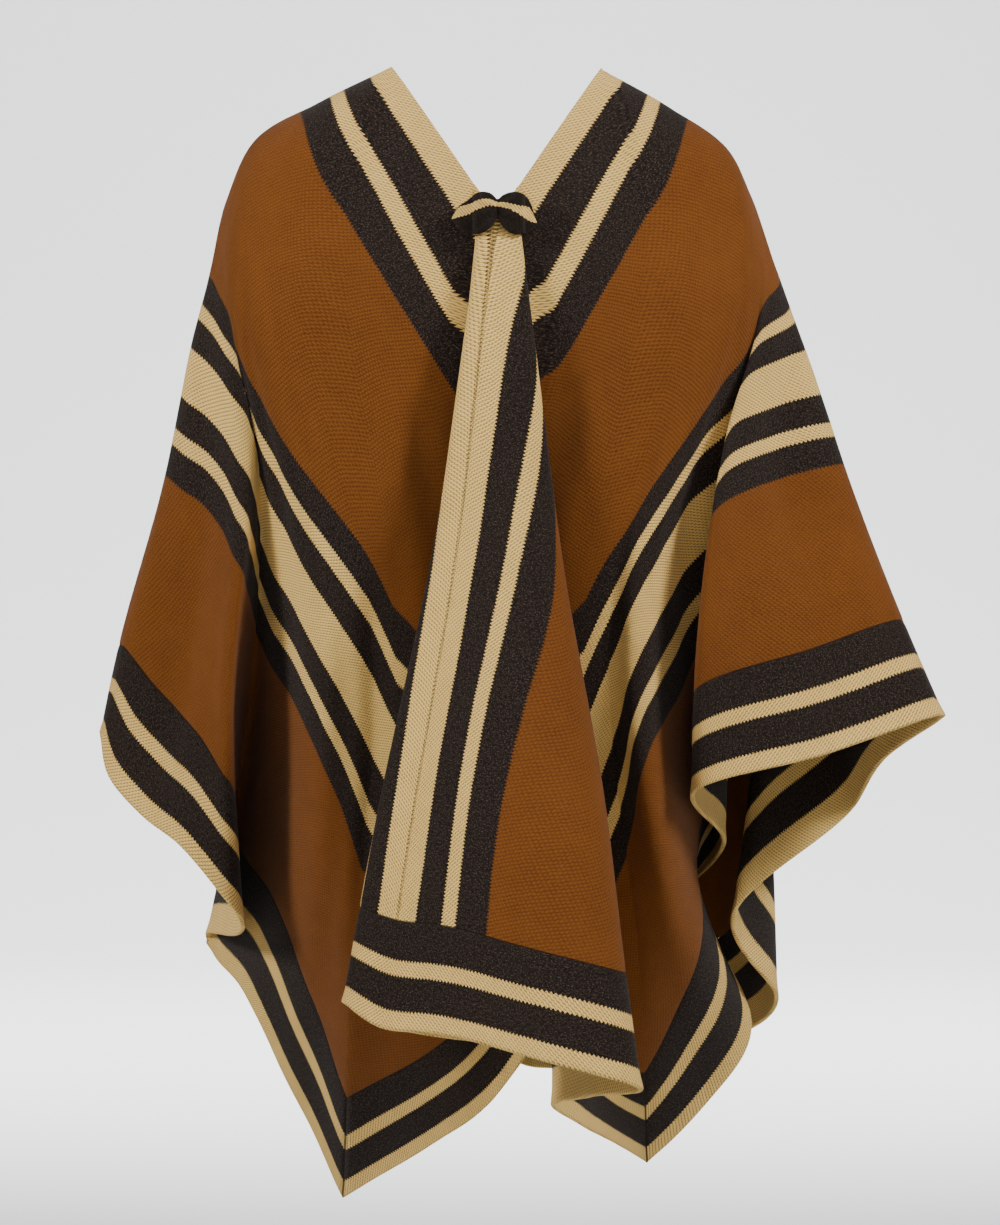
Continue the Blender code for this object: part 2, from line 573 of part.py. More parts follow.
def face_of_cloth(panels, x, z):
    """y of the foremost cloth at x and z, or 0 where only the back shows, through the slit."""
    hits = [panel.ray_cast((x, -SIGHT, z), (0, 1, 0)) for panel in panels]
    return min([place.y for hit, place, _, _ in hits if hit], default=0.0)


def slit_tab(name, panels, finish, collection):
    """The tab: each ring across it lies just in front of the cloth that is behind it."""
    rows = [(-row.out, row) for row in reversed(TAB_RINGS[1:])] + [(row.out, row) for row in TAB_RINGS]
    outs = [out for out, _ in rows]
    turns = [2 * math.pi * corner / TAB_SIDES for corner in range(TAB_SIDES)]
    rings = []
    for number, (out, row) in enumerate(rows):
        near, far = outs[max(number - 1, 0)], outs[min(number + 1, len(outs) - 1)]
        middle = TAB_Z - row.drop
        back = min(face_of_cloth(panels, TAB_X + x, z)
                   for x in np.linspace(near, far, TAB_FEELERS)
                   for z in np.linspace(middle - row.half_height, middle + row.half_height, TAB_FEELERS))
        centre = back - TAB_CLEARANCE - row.depth / 2
        rings.append([(TAB_X + out, centre + row.depth / 2 * math.cos(turn),
                       middle + row.half_height * math.sin(turn)) for turn in turns])
    return ring_solid(name, rings, finish, collection)


def build():
    clear_scene()
    garment = bpy.data.collections.new("andean_poncho")
    bpy.context.scene.collection.children.link(garment)
    brown = material("brown_wool", (0.185, 0.058, 0.016), 0.95)
    dark = material("dark_wool", (0.021, 0.014, 0.012), 0.95)
    beige = material("beige_wool", (0.52, 0.38, 0.22), 0.95)

    corners, ways, patches = cloth_faces()
    pieces = {name: cloth_piece(name, corners, ways, patch, brown if name.startswith("panel") else dark,
                                garment)
              for name, patch in patches.items()}
    slit_tab("slit_tab", [pieces["panel_right"], pieces["panel_left"]], beige, garment)


build()
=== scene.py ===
import math
from collections import namedtuple

import bmesh
import bpy
import numpy as np
from mathutils import Matrix, Vector


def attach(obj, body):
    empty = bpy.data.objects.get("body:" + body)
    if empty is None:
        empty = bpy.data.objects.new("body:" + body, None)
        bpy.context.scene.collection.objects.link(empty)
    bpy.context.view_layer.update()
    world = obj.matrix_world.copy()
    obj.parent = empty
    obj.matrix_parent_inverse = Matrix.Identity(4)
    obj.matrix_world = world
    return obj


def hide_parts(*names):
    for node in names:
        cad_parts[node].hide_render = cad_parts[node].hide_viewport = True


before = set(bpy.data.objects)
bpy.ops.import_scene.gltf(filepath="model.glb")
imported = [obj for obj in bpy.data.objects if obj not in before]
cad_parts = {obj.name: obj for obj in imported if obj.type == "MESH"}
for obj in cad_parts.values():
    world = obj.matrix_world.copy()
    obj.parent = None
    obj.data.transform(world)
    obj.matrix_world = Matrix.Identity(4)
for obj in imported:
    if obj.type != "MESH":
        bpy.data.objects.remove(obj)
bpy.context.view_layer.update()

# ================================================================ the two panels
# Each is one length off the loom, 66 cm wide, with its stripes woven in.  They are sewn together down the
# middle, with a slit left open for the neck, and worn draped over both shoulders and arms, with a deep
# fold of cloth hanging at the front and back.

# The cut of the whole cloth.  u runs across it from the centre seam and v runs along it, from 0 on the
# shoulders to the front hem (plus) and the back hem (minus).  Fold lines run from the neckline to the cut
# edge, each has a row in a table, and the cloth is lofted from one to the next all the way round.
HALF_WIDTH = 0.76       # centre seam to side edge
HALF_LENGTH = 0.96      # shoulder line to front or back hem
SLIT = 0.175            # shoulder line to the foot of the neck slit
BORDER = 0.102          # width of the sewn-on border
WALL = 0.0025           # thick, felted cloth
SEAM_GAP = 0.0003       # between pieces that are sewn together

NECK_HALF = 0.100       # origin to where the slit crosses each shoulder
SLIT_FOOT_HALF = 0.010  # half the width to which the foot of the slit is gathered
SLIT_FOOT_DROP = 0.135  # how far the foot of the slit lies below the shoulders
PLEAT_LIFT = 0.014      # how far the gathered pleat stands off the chest there

PLEAT_TOP = 0.012       # neckline that the gathered pleat takes up, from the foot of the slit
RESTS_WITHIN = 0.010    # and the neckline beside it where the cloth comes to rest on the shoulder

RIDGE = 0.012           # how roundly the cloth turns over the shoulder
RIDGE_DEPTH = 0.006
SLIT_FALL = math.hypot(SLIT, RIDGE) - RIDGE

# From a point on the shoulder the cloth leads inwards and down, and off the body to the front or back.
# The way off falls away with the distance: it ends near `off`, and most of it is made within `within`.
# What the way off takes up is saved, in part, from the way down.
Slope = namedtuple("Slope", "inwards down off within saved")
BESIDE_SLIT = Slope((NECK_HALF - SLIT_FOOT_HALF) / SLIT_FALL, SLIT_FOOT_DROP / SLIT_FALL, 0.095, 0.170, 0.0)
OVER_ARM = Slope(0.15, 0.88, 0.085, 0.085, 0.35)
ARM_START = 0.22        # u where the shoulder has turned into the arm
CM = 0.01
YOKE = 0.16             # share of a fold line that rests on the shoulder
LEVELS = (0.0, YOKE, 0.40, 0.75, 1.0)   # neckline, yoke, chest, belly and cut edge
STEADY_LIMIT = 2.5      # most that a steady curve runs steeper than the gentler side of a knot
ARM_STEP = 0.004        # step along u over which the arm's direction is read
OFF_STEP = 0.001        # step along v over which the way off the shoulder is read
FINE_STEPS = 2000       # steps in which the ring is searched for a top on the shoulder

# Cloth laid over the shoulder and arm, along v = 0: cut position u, then x outwards, y and z.
Shoulder = namedtuple("Shoulder", "u x y z")
RIGHT_ARM_LINE = (      # the wearer's right arm, at -X
    Shoulder(0.000, 10.0, 0.0, 0.0),
    Shoulder(0.080, 17.0, 0.0, -3.5),
    Shoulder(0.150, 23.0, 0.0, -7.0),
    Shoulder(0.205, 25.5, -0.5, -12.0),
    Shoulder(0.285, 27.0, -1.0, -19.5),
    Shoulder(0.360, 29.0, -1.5, -26.5),
    Shoulder(0.465, 31.0, -2.5, -37.0),
    Shoulder(0.613, 34.5, -4.0, -51.5),
    Shoulder(0.760, 37.5, -6.0, -64.0),
)
LEFT_ARM_LINE = (       # the wearer's left arm, at +X, held a little higher
    Shoulder(0.000, 10.0, 0.0, -0.3),
    Shoulder(0.080, 16.5, 0.0, -4.0),
    Shoulder(0.150, 22.0, 0.0, -8.0),
    Shoulder(0.190, 23.7, 0.0, -11.2),
    Shoulder(0.250, 25.5, -0.5, -16.5),
    Shoulder(0.320, 27.7, -1.0, -23.0),
    Shoulder(0.400, 30.5, -2.0, -30.5),
    Shoulder(0.514, 33.7, -4.0, -40.5),
    Shoulder(0.760, 42.0, -9.0, -62.0),
)

# Fold lines.  top: distance along the neckline from the foot of the slit, then out along the shoulder.
# edge: distance along the cut edge from the centre seam, round the corner at 76 to the cuff at 172.
# chest, belly, hem: where the line passes at those levels, as x, y, z.  Everything is in centimetres.
Fold = namedtuple("Fold", "name top edge chest belly hem")
SEAM_FRONT = Fold("seam, front", 0, 0, (-3.4, -16.5, -44.6), (-7.6, -26, -71), (-10.2, -32, -89))
SEAM_BACK = Fold("seam, back", 0, 0, (2.2, 20.5, -41), (7, 29.5, -68), (10.5, 35.5, -87.5))
FRONT_RIGHT = (
    Fold("pleat, outer crest", 0.5, 6, (-5.4, -16, -44.8), (-10.6, -25.5, -70.5), (-13.5, -31, -86.9)),
    Fold("pleat, turned under", 0.9, 14, (-4.8, -12.9, -44.2), (-8.5, -20, -70), (-10.5, -24, -89.5)),
    Fold("pleat, underside", 1.3, 30, (-0.8, -12.4, -45.5), (1, -18, -71.5), (1.8, -19, -92)),
    Fold("valley under the pleat", 2, 42, (-0.4, -9.9, -47.2), (1.5, -11, -73), (3.2, -10, -93)),
    Fold("beside the pleat", 7, 50, (-2.9, -10.6, -47.3), (-1.2, -12, -76), (-0.6, -7, -98.5)),
    Fold("apron", 13, 60, (-7.3, -11.5, -45.9), (-4.3, -14, -79.4), (-5.5, -3, -102.5)),
    Fold("corner", 21, 76, (-12, -12.5, -50.7), (-13.6, -11, -86.8), (-15, 8, -109.5)),
    Fold("side crest", 25, 97, (-17.2, -12, -47.2), (-18.1, -10.5, -75.6), (-23, 2, -91.5)),
    Fold("valley by the arm", 28.5, 122, (-22, -7.9, -40.7), (-24.5, 3, -67), (-28.8, 13, -84.7)),
    Fold("sleeve crest", 34, 150, (-24.1, -8.5, -37), (-25.7, -10.5, -61.6), (-25.7, -11, -78.7)),
    Fold("cuff, lower front", 38, 155.5, (-25.6, -7.3, -37.4), (-27.3, -9, -60), (-29.6, -9.8, -74.2)),
    Fold("sleeve front", 42, 161, (-27.5, -5.5, -38), (-29.4, -7, -58.8), (-33.4, -8.3, -71.4)),
    Fold("cuff, upper front", 46, 166.5, (-29.9, -4.4, -39.2), (-32.4, -5.8, -57), (-36.6, -7.2, -67.8)),
)
FRONT_LEFT = (
    Fold("pleat, face", 0.4, 6, (-1.6, -17, -45.3), (-4.5, -27, -71.3), (-5.2, -33.5, -89.4)),
    Fold("pleat, middle", 0.7, 15, (1.6, -17.5, -45.8), (1.0, -28, -72.6), (2.8, -34.5, -91.3)),
    Fold("pleat, inner crest", 1.0, 24.5, (5.3, -16, -46.3), (9.3, -27, -74.6), (12.3, -33, -94.1)),
    Fold("pleat, turned under", 1.5, 38, (4.8, -12.8, -45.5), (9, -20.5, -72.8), (8.5, -24, -96)),
    Fold("valley under the pleat", 2.3, 52, (1.2, -9.9, -47), (5, -12, -75), (5.5, -12, -98.5)),
    Fold("beside the pleat", 8, 59, (3.6, -10.6, -48), (6.5, -10.5, -78), (8, -6, -100.8)),
    Fold("apron", 14, 66, (6.4, -11.5, -47.8), (8.5, -9.5, -81.5), (10.5, 0, -102.8)),
    Fold("corner", 21, 76, (10.9, -12, -49.9), (13.5, -8.5, -85.5), (14.5, 8, -106)),
    Fold("side crest", 25, 94, (14.1, -12.5, -46.9), (16.5, -12.5, -76.5), (24.5, 4, -93)),
    Fold("valley by the arm", 29, 112, (17.6, -9.3, -43.6), (19.2, -3, -70), (19, 13, -81)),
    Fold("inside the sleeve", 32, 128, (22.2, -6.2, -40.5), (22.2, -2.5, -60), (21.8, -1, -74.5)),
    Fold("sleeve crest", 36, 146, (21.8, -10.5, -35.4), (19.2, -15, -55), (18.8, -15.5, -68.5)),
    Fold("sleeve front", 42, 159, (26.1, -6.5, -36.4), (29.6, -10, -53), (30.3, -12.5, -65.6)),
)
BACK_RIGHT = (
    Fold("pleat, inner side", 0.5, 6, (0, 22, -41.5), (3, 32, -66), (5.5, 39, -86.5)),
    Fold("pleat, face", 1.2, 14, (-3.5, 21.5, -42), (-3, 32.5, -66.5), (-2, 39, -88)),
    Fold("pleat, crest", 2.5, 30, (-7.5, 19, -45), (-10.5, 27, -70.5), (-13, 32, -93)),
    Fold("valley by the pleat", 6, 42, (-6.5, 13, -47), (-8, 18, -75), (-9.5, 21, -97)),
    Fold("apron", 13, 60, (-11.5, 11, -47.5), (-8, 10, -82), (-5.5, 6.5, -100)),
    Fold("corner", 21, 76, (-17, 11, -50), (-17, 13, -86), (-14, 15, -102)),
    Fold("side crest", 25, 97, (-20.5, 12, -45), (-23, 22, -73), (-21, 31, -91)),
    Fold("valley by the arm", 29, 122, (-24, 9, -40), (-26.5, 13.5, -65), (-24.5, 17.5, -81.5)),
    Fold("behind the arm, crest", 32, 134, (-26.8, 9.5, -37.5), (-30, 18, -61), (-29.5, 26, -77)),
    Fold("sleeve back", 34, 147, (-28.8, 6, -36.5), (-32.8, 11.5, -58), (-33, 15, -72)),
    Fold("sleeve, upper back", 42, 160, (-30.8, 3, -37.5), (-34.8, 4, -56), (-36.5, 4.5, -67.5)),
)
BACK_LEFT = (
    Fold("pleat, outer crest", 0.5, 6, (3.8, 20.5, -42), (10, 28.5, -67), (14.5, 32.5, -88.5)),
    Fold("pleat, turned under", 1.0, 14, (2.5, 18, -42), (8, 24, -68), (11.5, 27, -90.5)),
    Fold("pleat, underside", 1.7, 30, (0.5, 14, -44.5), (0.5, 20, -71), (1, 21.5, -93.5)),
    Fold("valley under the pleat", 4, 42, (5, 10.5, -46.5), (2, 11, -75), (2, 10.5, -96.5)),
    Fold("apron", 13, 60, (11.5, 10.5, -47.5), (11, 15, -81.5), (11, 20, -98.5)),
    Fold("corner", 20, 76, (15.5, 10.5, -50.5), (15.5, 13.5, -85), (15, 14.5, -101.5)),
    Fold("beside the corner, crest", 22.5, 88, (18, 11.5, -47.5), (20, 20, -79.5), (18.5, 26.5, -98)),
    Fold("side crest", 25, 102, (20, 11, -45), (24, 17, -75), (25, 18.5, -94.5)),
    Fold("side valley", 29, 117, (22.5, 10, -40), (26.5, 11, -69), (27, 6, -89.5)),
    Fold("cuff, turned in", 35, 130, (24.5, 8, -38), (25, 6, -64), (22.5, -2, -82.5)),
    Fold("sleeve back", 42, 155, (28.3, 4, -36.5), (32.3, 5.2, -57), (35.2, 4.5, -70.5)),
    Fold("cuff, upper back", 46, 162, (31, 0.4, -37.8), (35.2, 0.2, -55), (37, 0.3, -66.6)),
)
CUFF_TOP = 50.0         # the last fold line lies on the arm: it leaves the shoulder here
CUFF_EDGE = 172.0       # and ends at the middle of the cuff


def spline(knots, values, at, steady=False):
    """Smooth curve through values at the knots, read at the places `at`; a steady one never turns back."""
    knots = np.asarray(knots, float)
    values = np.asarray(values, float).reshape(len(knots), -1)
    steps = np.diff(knots)[:, None]
    slopes = np.diff(values, axis=0) / steps
    tangents = np.empty_like(values)
    tangents[1:-1] = (slopes[:-1] * steps[1:] + slopes[1:] * steps[:-1]) / (steps[:-1] + steps[1:])
    tangents[0] = 1.5 * slopes[0] - 0.5 * tangents[1]
    tangents[-1] = 1.5 * slopes[-1] - 0.5 * tangents[-2]
    if steady:
        limit = STEADY_LIMIT * np.minimum(np.abs(slopes[:-1]), np.abs(slopes[1:]))
        tangents[1:-1] = np.clip(tangents[1:-1], -limit, limit)
    return hermite(knots, values, tangents, at)


def hermite(knots, values, tangents, at):
    """Smooth curve through values at the knots, with a tangent given at each."""
    at = np.atleast_1d(np.asarray(at, float))
    span = np.clip(np.searchsorted(knots, at, side="right") - 1, 0, len(knots) - 2)
    step = (knots[span + 1] - knots[span])[:, None]
    share = ((at - knots[span]) / step[:, 0])[:, None]
    square, cube = share ** 2, share ** 3
    return ((2 * cube - 3 * square + 1) * values[span]
            + (cube - 2 * square + share) * step * tangents[span]
            + (3 * square - 2 * cube) * values[span + 1]
            + (cube - square) * step * tangents[span + 1])


def arm_line(side, u):
    """Where the cloth lies over the shoulder and arm: side -1 is the wearer's right."""
    rows = RIGHT_ARM_LINE if side < 0 else LEFT_ARM_LINE
    places = [(side * row.x * CM, row.y * CM, row.z * CM) for row in rows]
    return spline([row.u for row in rows], places, u)


def arm_direction(side, u):
    return (arm_line(side, u + ARM_STEP) - arm_line(side, u - ARM_STEP)) / (2 * ARM_STEP)


QUARTER = HALF_WIDTH + HALF_LENGTH      # cut edge from a centre seam to the middle of a cuff
RING = 4 * QUARTER
CORNERS = (HALF_WIDTH, 2 * QUARTER - HALF_WIDTH, 2 * QUARTER + HALF_WIDTH, RING - HALF_WIDTH)


def cuff_fold(side):
    start = CUFF_TOP * CM - SLIT
    levels = [start + (HALF_WIDTH - start) * level for level in LEVELS[2:]]
    places = [tuple(arm_line(side, u)[0] / CM) for u in levels]
    return Fold("on the arm", CUFF_TOP, CUFF_EDGE, *places)


def fold_ring():
    """(distance round the cut edge, fold) from the front seam by the wearer's right, all the way round."""
    ring = [(0.0, SEAM_FRONT)]
    ring += [(fold.edge * CM, fold) for fold in FRONT_RIGHT]
    ring += [(QUARTER, cuff_fold(-1))]
    ring += [(2 * QUARTER - fold.edge * CM, fold) for fold in reversed(BACK_RIGHT)]
    ring += [(2 * QUARTER, SEAM_BACK)]
    ring += [(2 * QUARTER + fold.edge * CM, fold) for fold in BACK_LEFT]
    ring += [(3 * QUARTER, cuff_fold(1))]
    ring += [(RING - fold.edge * CM, fold) for fold in reversed(FRONT_LEFT)]
    return ring


FOLD_RING = fold_ring()


def round_the_ring(values_of, at, steady=False):
    """One column of the table read between the folds, smooth along each side and bent at each corner."""
    knots = np.array([place for place, _ in FOLD_RING] + [RING])
    values = np.array([values_of(place, fold) for place, fold in FOLD_RING], float)
    values = values.reshape(len(FOLD_RING), -1)
    values = np.concatenate([values, values[:1]])
    at = np.asarray(at, float)
    read = np.empty((len(at), values.shape[1]))
    front = (at <= CORNERS[0]) | (at >= CORNERS[3])
    turned = np.where(at >= CORNERS[3], at - RING, at)
    head = knots <= CORNERS[0]
    tail = (knots >= CORNERS[3]) & (knots < RING)
    read[front] = spline(np.concatenate([knots[tail] - RING, knots[head]]),
                         np.concatenate([values[tail], values[head]]), turned[front], steady)
    for near, far in zip(CORNERS[:-1], CORNERS[1:]):
        here = (at > near) & (at <= far)
        rows = (knots >= near) & (knots <= far)
        read[here] = spline(knots[rows], values[rows], at[here], steady)
    return read


def cut_edge(place):
    """u and v on the cut edge, at a distance round it from the front seam."""
    corners = [0, HALF_WIDTH, HALF_WIDTH + 2 * HALF_LENGTH, 3 * HALF_WIDTH + 2 * HALF_LENGTH,
               3 * HALF_WIDTH + 4 * HALF_LENGTH, RING]
    u = np.interp(place, corners, [0, -HALF_WIDTH, -HALF_WIDTH, HALF_WIDTH, HALF_WIDTH, 0])
    v = np.interp(place, corners, [HALF_LENGTH, HALF_LENGTH, -HALF_LENGTH, -HALF_LENGTH,
                                   HALF_LENGTH, HALF_LENGTH])
    return np.stack([u, v], axis=-1)


def border_line(place):
    """u and v where the border meets the panels."""
    shrink = np.array([(HALF_WIDTH - BORDER) / HALF_WIDTH, (HALF_LENGTH - BORDER) / HALF_LENGTH])
    return cut_edge(place) * shrink


def border_share(place, fold):
    """How far down its fold line the border begins."""
    start_u = max(fold.top * CM - SLIT, 0.0)
    start_v = max(SLIT - fold.top * CM, 0.0)
    by_length = (HALF_LENGTH - BORDER - start_v) / (HALF_LENGTH - start_v)
    by_width = (HALF_WIDTH - BORDER - start_u) / (HALF_WIDTH - start_u)
    corner = HALF_WIDTH / CM
    if fold.edge == corner:
        return (by_length + by_width) / 2
    return by_length if fold.edge < corner else by_width


def sides_of(place):
    """Signs of x and of v at a distance round the cut edge."""
    side = np.where(place < 2 * QUARTER, -1, 1)
    facing = np.where((place < QUARTER) | (place > 3 * QUARTER), 1, -1)
    return side, facing


def off_shoulder(side, facing, u, v):
    """From the shoulder at u, the way to the cloth at a distance v before or behind it."""
    to_arm = np.clip(u / ARM_START, 0.0, 1.0)[:, None]
    fall = np.hypot(v, RIDGE) - RIDGE
    over_ridge = RIDGE_DEPTH * (1 - np.exp(-v / RIDGE))
    ways = []
    for slope in (BESIDE_SLIT, OVER_ARM):
        off = slope.off * (1 - np.exp(-v / slope.within))
        ways.append(np.stack([-side * slope.inwards * fall, -facing * (off + over_ridge),
                              slope.saved * off - slope.down * fall], axis=-1))
    return ways[0] * (1 - to_arm) + ways[1] * to_arm


def slit_edge(side, facing, top):
    """Edge of the neck slit, from its gathered foot up to the shoulder."""
    zero = np.zeros_like(top)
    point = off_shoulder(side, facing, zero, np.clip(SLIT - top, 0.0, None))
    point[:, 0] = side * (NECK_HALF + side * point[:, 0])
    gathered = np.clip(1 - top / (2 * SLIT_FOOT_HALF), 0.0, 1.0)
    point[:, 0] -= side * SLIT_FOOT_HALF * np.clip(1 - top / SLIT_FOOT_HALF, 0.0, 1.0)
    point[:, 1] -= facing * PLEAT_LIFT * gathered
    return point


def on_arm_line(side, u, read=arm_line):
    return np.where((side < 0)[:, None], read(-1, u), read(1, u))


def cloth(place, top, share):
    """Points of the cloth and their u, v.

    Each line has a place round the cut edge and a top on the neckline; share is down the line.
    """
    place = np.asarray(place, float) % RING
    share = np.asarray(share, float)
    side, facing = sides_of(place)
    border = border_shares(place)
    inner = border_line(place)
    edge = cut_edge(place)

    # The neckline: along the slit, then out along the shoulder.
    start_u = np.clip(top - SLIT, 0.0, None)
    start_v = np.clip(SLIT - top, 0.0, None)
    start = np.stack([side * start_u, facing * start_v], axis=-1)
    neck = np.where((top < SLIT)[:, None], slit_edge(side, facing, top), on_arm_line(side, start_u))
    course = (inner - start) / border[:, None]
    leaving = (np.abs(course[:, :1]) * on_arm_line(side, start_u, arm_direction)
               + np.abs(course[:, 1:]) * (off_shoulder(side, facing, start_u, start_v + OFF_STEP)
                                          - off_shoulder(side, facing, start_u, start_v)) / OFF_STEP)

    # Chest, belly and cut edge, from the table.
    chest, belly, hem = [
        round_the_ring(lambda _, fold: [c * CM for c in getattr(fold, column)], place)
        for column in ("chest", "belly", "hem")]

    # Between the neckline and the chest the cloth first lies on the shoulder.  The pleat never does.
    resting = np.clip((top - PLEAT_TOP) / RESTS_WITHIN, 0.0, 1.0)[:, None]
    resting = resting * resting * (3 - 2 * resting)
    u = start_u + np.abs(course[:, 0]) * YOKE
    v = start_v + np.abs(course[:, 1]) * YOKE
    laid = on_arm_line(side, u) + off_shoulder(side, facing, u, v)
    hung = neck + (chest - neck) * YOKE / LEVELS[2]
    yoke = laid * resting + hung * (1 - resting)

    rings = np.stack([neck, yoke, chest, belly, hem], axis=1)
    levels = np.array(LEVELS)
    steps = np.diff(levels)[None, :, None]
    slopes = np.diff(rings, axis=1) / steps
    tangents = np.empty_like(rings)
    tangents[:, 1:-1] = ((slopes[:, :-1] * steps[:, 1:] + slopes[:, 1:] * steps[:, :-1])
                         / (steps[:, :-1] + steps[:, 1:]))
    tangents[:, 0] = leaving * resting + (1.5 * slopes[:, 0] - 0.5 * tangents[:, 1]) * (1 - resting)
    tangents[:, -1] = 1.5 * slopes[:, -1] - 0.5 * tangents[:, -2]

    columns, rows = share.shape
    points = np.empty((columns, rows, 3))
    for column in range(columns):
        points[column] = hermite(levels, rings[column], tangents[column], share[column])

    inside = np.clip(share / border[:, None], 0.0, 1.0)[..., None]
    outside = np.clip((share - border[:, None]) / (1 - border[:, None]), 0.0, 1.0)[..., None]
    cut = start[:, None] + (inner - start)[:, None] * inside + (edge - inner)[:, None] * outside
    return points, cut


def tops(place):
    """Where on the neckline each fold line starts."""
    return np.clip(round_the_ring(lambda _, fold: fold.top * CM, place, steady=True)[:, 0], 0.0, None)


def border_shares(place):
    return round_the_ring(border_share, np.asarray(place, float) % RING)[:, 0]


# The wall of milled wool, one skin outside and one inside.  It thins a little at each seam, where the
# stitches pull it down, and its outer edge is turned over and felted into a soft roll.
COLUMN = 0.0095         # cut edge between two columns of faces, at most
BESIDE_SEAM = 0.003     # and the first column from the centre seam
PANEL_ROWS = 84
SEAM_ROWS = (0.008, 0.0035, 0.001)      # rows close to the seam between panel and border
NECK_ROWS = (0.0008, 0.0022, 0.0048)    # shares of a fold line, close to the neckline
ROLL_ROWS = (0.0175, 0.015, 0.0115, 0.008, 0.005, 0.0032, 0.0018, 0.0008, 0.0002)
BORDER_ROWS = 9
NECK_CLEAR = 1.5        # the even rows begin this many times further down than the last of NECK_ROWS
SEAM_CLEAR = 1.6        # and the border's this many times further than the first of SEAM_ROWS
ROLL_CLEAR = 1.25       # and end this many roll widths from the outer edge
ROLL = 0.0025           # half the thickness of the rolled outer edge
ROLL_WIDTH = 0.017
NECK_ROLL = 0.0017
BLUNT = 0.05            # half the thickness left at the very lip, as a share of its radius
LIP_REACH = 4           # radii from the slit within which the cloth tapers to its lip
LIP_SWELL = 0.9         # share of the lip's radius that the cloth keeps there
SEAM_SINK = 0.45        # share of its thickness that the wall loses in a seam
SEAM_WIDTH = 0.0035
Wave = namedtuple("Wave", "length height start lean")
WAVES = (               # length round the cut edge, height, angle where it starts and how it leans
    Wave(0.310, 0.0011, 0.6, 2.0),
    Wave(0.173, 0.0008, 2.1, 3.5),
    Wave(0.113, 0.0006, 4.0, 5.0),
)
WAVES_WHOLE = 0.35      # share of a fold line by which the waves have their whole height
WELD_DIGITS = 6         # points alike to this many digits of a metre are one
TINY = 1e-12            # keeps a way of no length from being divided by nothing


def divided(stops, counts):
    """The stops, with each interval cut into its count of equal steps."""
    steps = [np.linspace(near, far, count, endpoint=False)
             for near, far, count in zip(stops[:-1], stops[1:], counts)]
    return np.concatenate(steps + [[stops[-1]]])


def round_edge(facing, side, out):
    """Distance round the cut edge, from a distance `out` of the centre seam before or behind."""
    if facing > 0:
        return out if side < 0 else RING - out
    return 2 * QUARTER + side * out


def side_columns(side):
    """Columns of one side of the cloth, from seam to seam: places round the cut edge, and their tops.

    Beside the slit a column stands on every fold line.  On the shoulder, the columns before and behind it
    start at the same points, because the cloth runs on there.
    """
    tables = {1: FRONT_RIGHT, -1: BACK_RIGHT} if side < 0 else {1: FRONT_LEFT, -1: BACK_LEFT}
    tops_on_shoulder = {fold.top * CM for table in tables.values() for fold in table if fold.top * CM > SLIT}
    shoulder = sorted({SLIT, CUFF_TOP * CM} | tops_on_shoulder)
    finely = {facing: np.union1d(np.linspace(0, QUARTER, FINE_STEPS), [fold.edge * CM for fold in table])
              for facing, table in tables.items()}
    starts = {facing: tops(round_edge(facing, side, finely[facing])) for facing in tables}
    reach = [np.diff(np.interp(shoulder, starts[facing], finely[facing])) for facing in tables]
    counts = [math.ceil(step / COLUMN) for step in np.maximum(*reach)]
    stations = divided(shoulder, counts)
    halves = {}
    for facing, table in tables.items():
        first = np.interp(SLIT, starts[facing], finely[facing])
        stops = [0.0, BESIDE_SEAM] + [fold.edge * CM for fold in table if fold.top * CM < SLIT] + [first]
        beside = divided(stops, [math.ceil((far - near) / COLUMN) for near, far in zip(stops, stops[1:])])
        over = np.interp(stations, starts[facing], finely[facing])
        places = round_edge(facing, side, np.concatenate([beside[:-1], over]))
        halves[facing] = places, np.concatenate([tops(places[:len(beside) - 1]), stations])
    first, last = (halves[1], halves[-1]) if side < 0 else (halves[-1], halves[1])
    return [np.concatenate([near, far[-2::-1]]) for near, far in zip(first, last)]


def line_rows(border):
    """Shares down each fold line where the rows of faces lie: the panel's rows, then the border's."""
    near_seam = np.array(SEAM_ROWS) / HALF_LENGTH
    even = np.linspace(0, 1, PANEL_ROWS)[1:-1]
    border = border[:, None]
    panel = border * np.concatenate([[0.0], NECK_ROWS, even[even > NECK_ROWS[-1] * NECK_CLEAR]])
    panel = np.concatenate([panel[:, :-1], border - near_seam], axis=1)
    flat = np.linspace(SEAM_ROWS[0] * SEAM_CLEAR, BORDER - ROLL_WIDTH * ROLL_CLEAR, BORDER_ROWS)
    band = np.concatenate([[0.0], near_seam[::-1] * HALF_LENGTH / BORDER, flat / BORDER,
                           1 - np.array(ROLL_ROWS) / BORDER, [1.0]])
    return np.concatenate([panel, border + (1 - border) * band], axis=1), panel.shape[1]


def to_edge(cut):
    """Distance on the cloth from each u, v to the outer edge."""
    return np.minimum(HALF_WIDTH - np.abs(cut[:, 0]), HALF_LENGTH - np.abs(cut[:, 1]))


def round_lip(distance, radius):
    """Half the thickness at a distance from a rounded lip of that radius."""
    inside = np.clip(radius - distance, 0.0, radius)
    return np.sqrt(np.maximum(radius ** 2 - inside ** 2, (BLUNT * radius) ** 2))


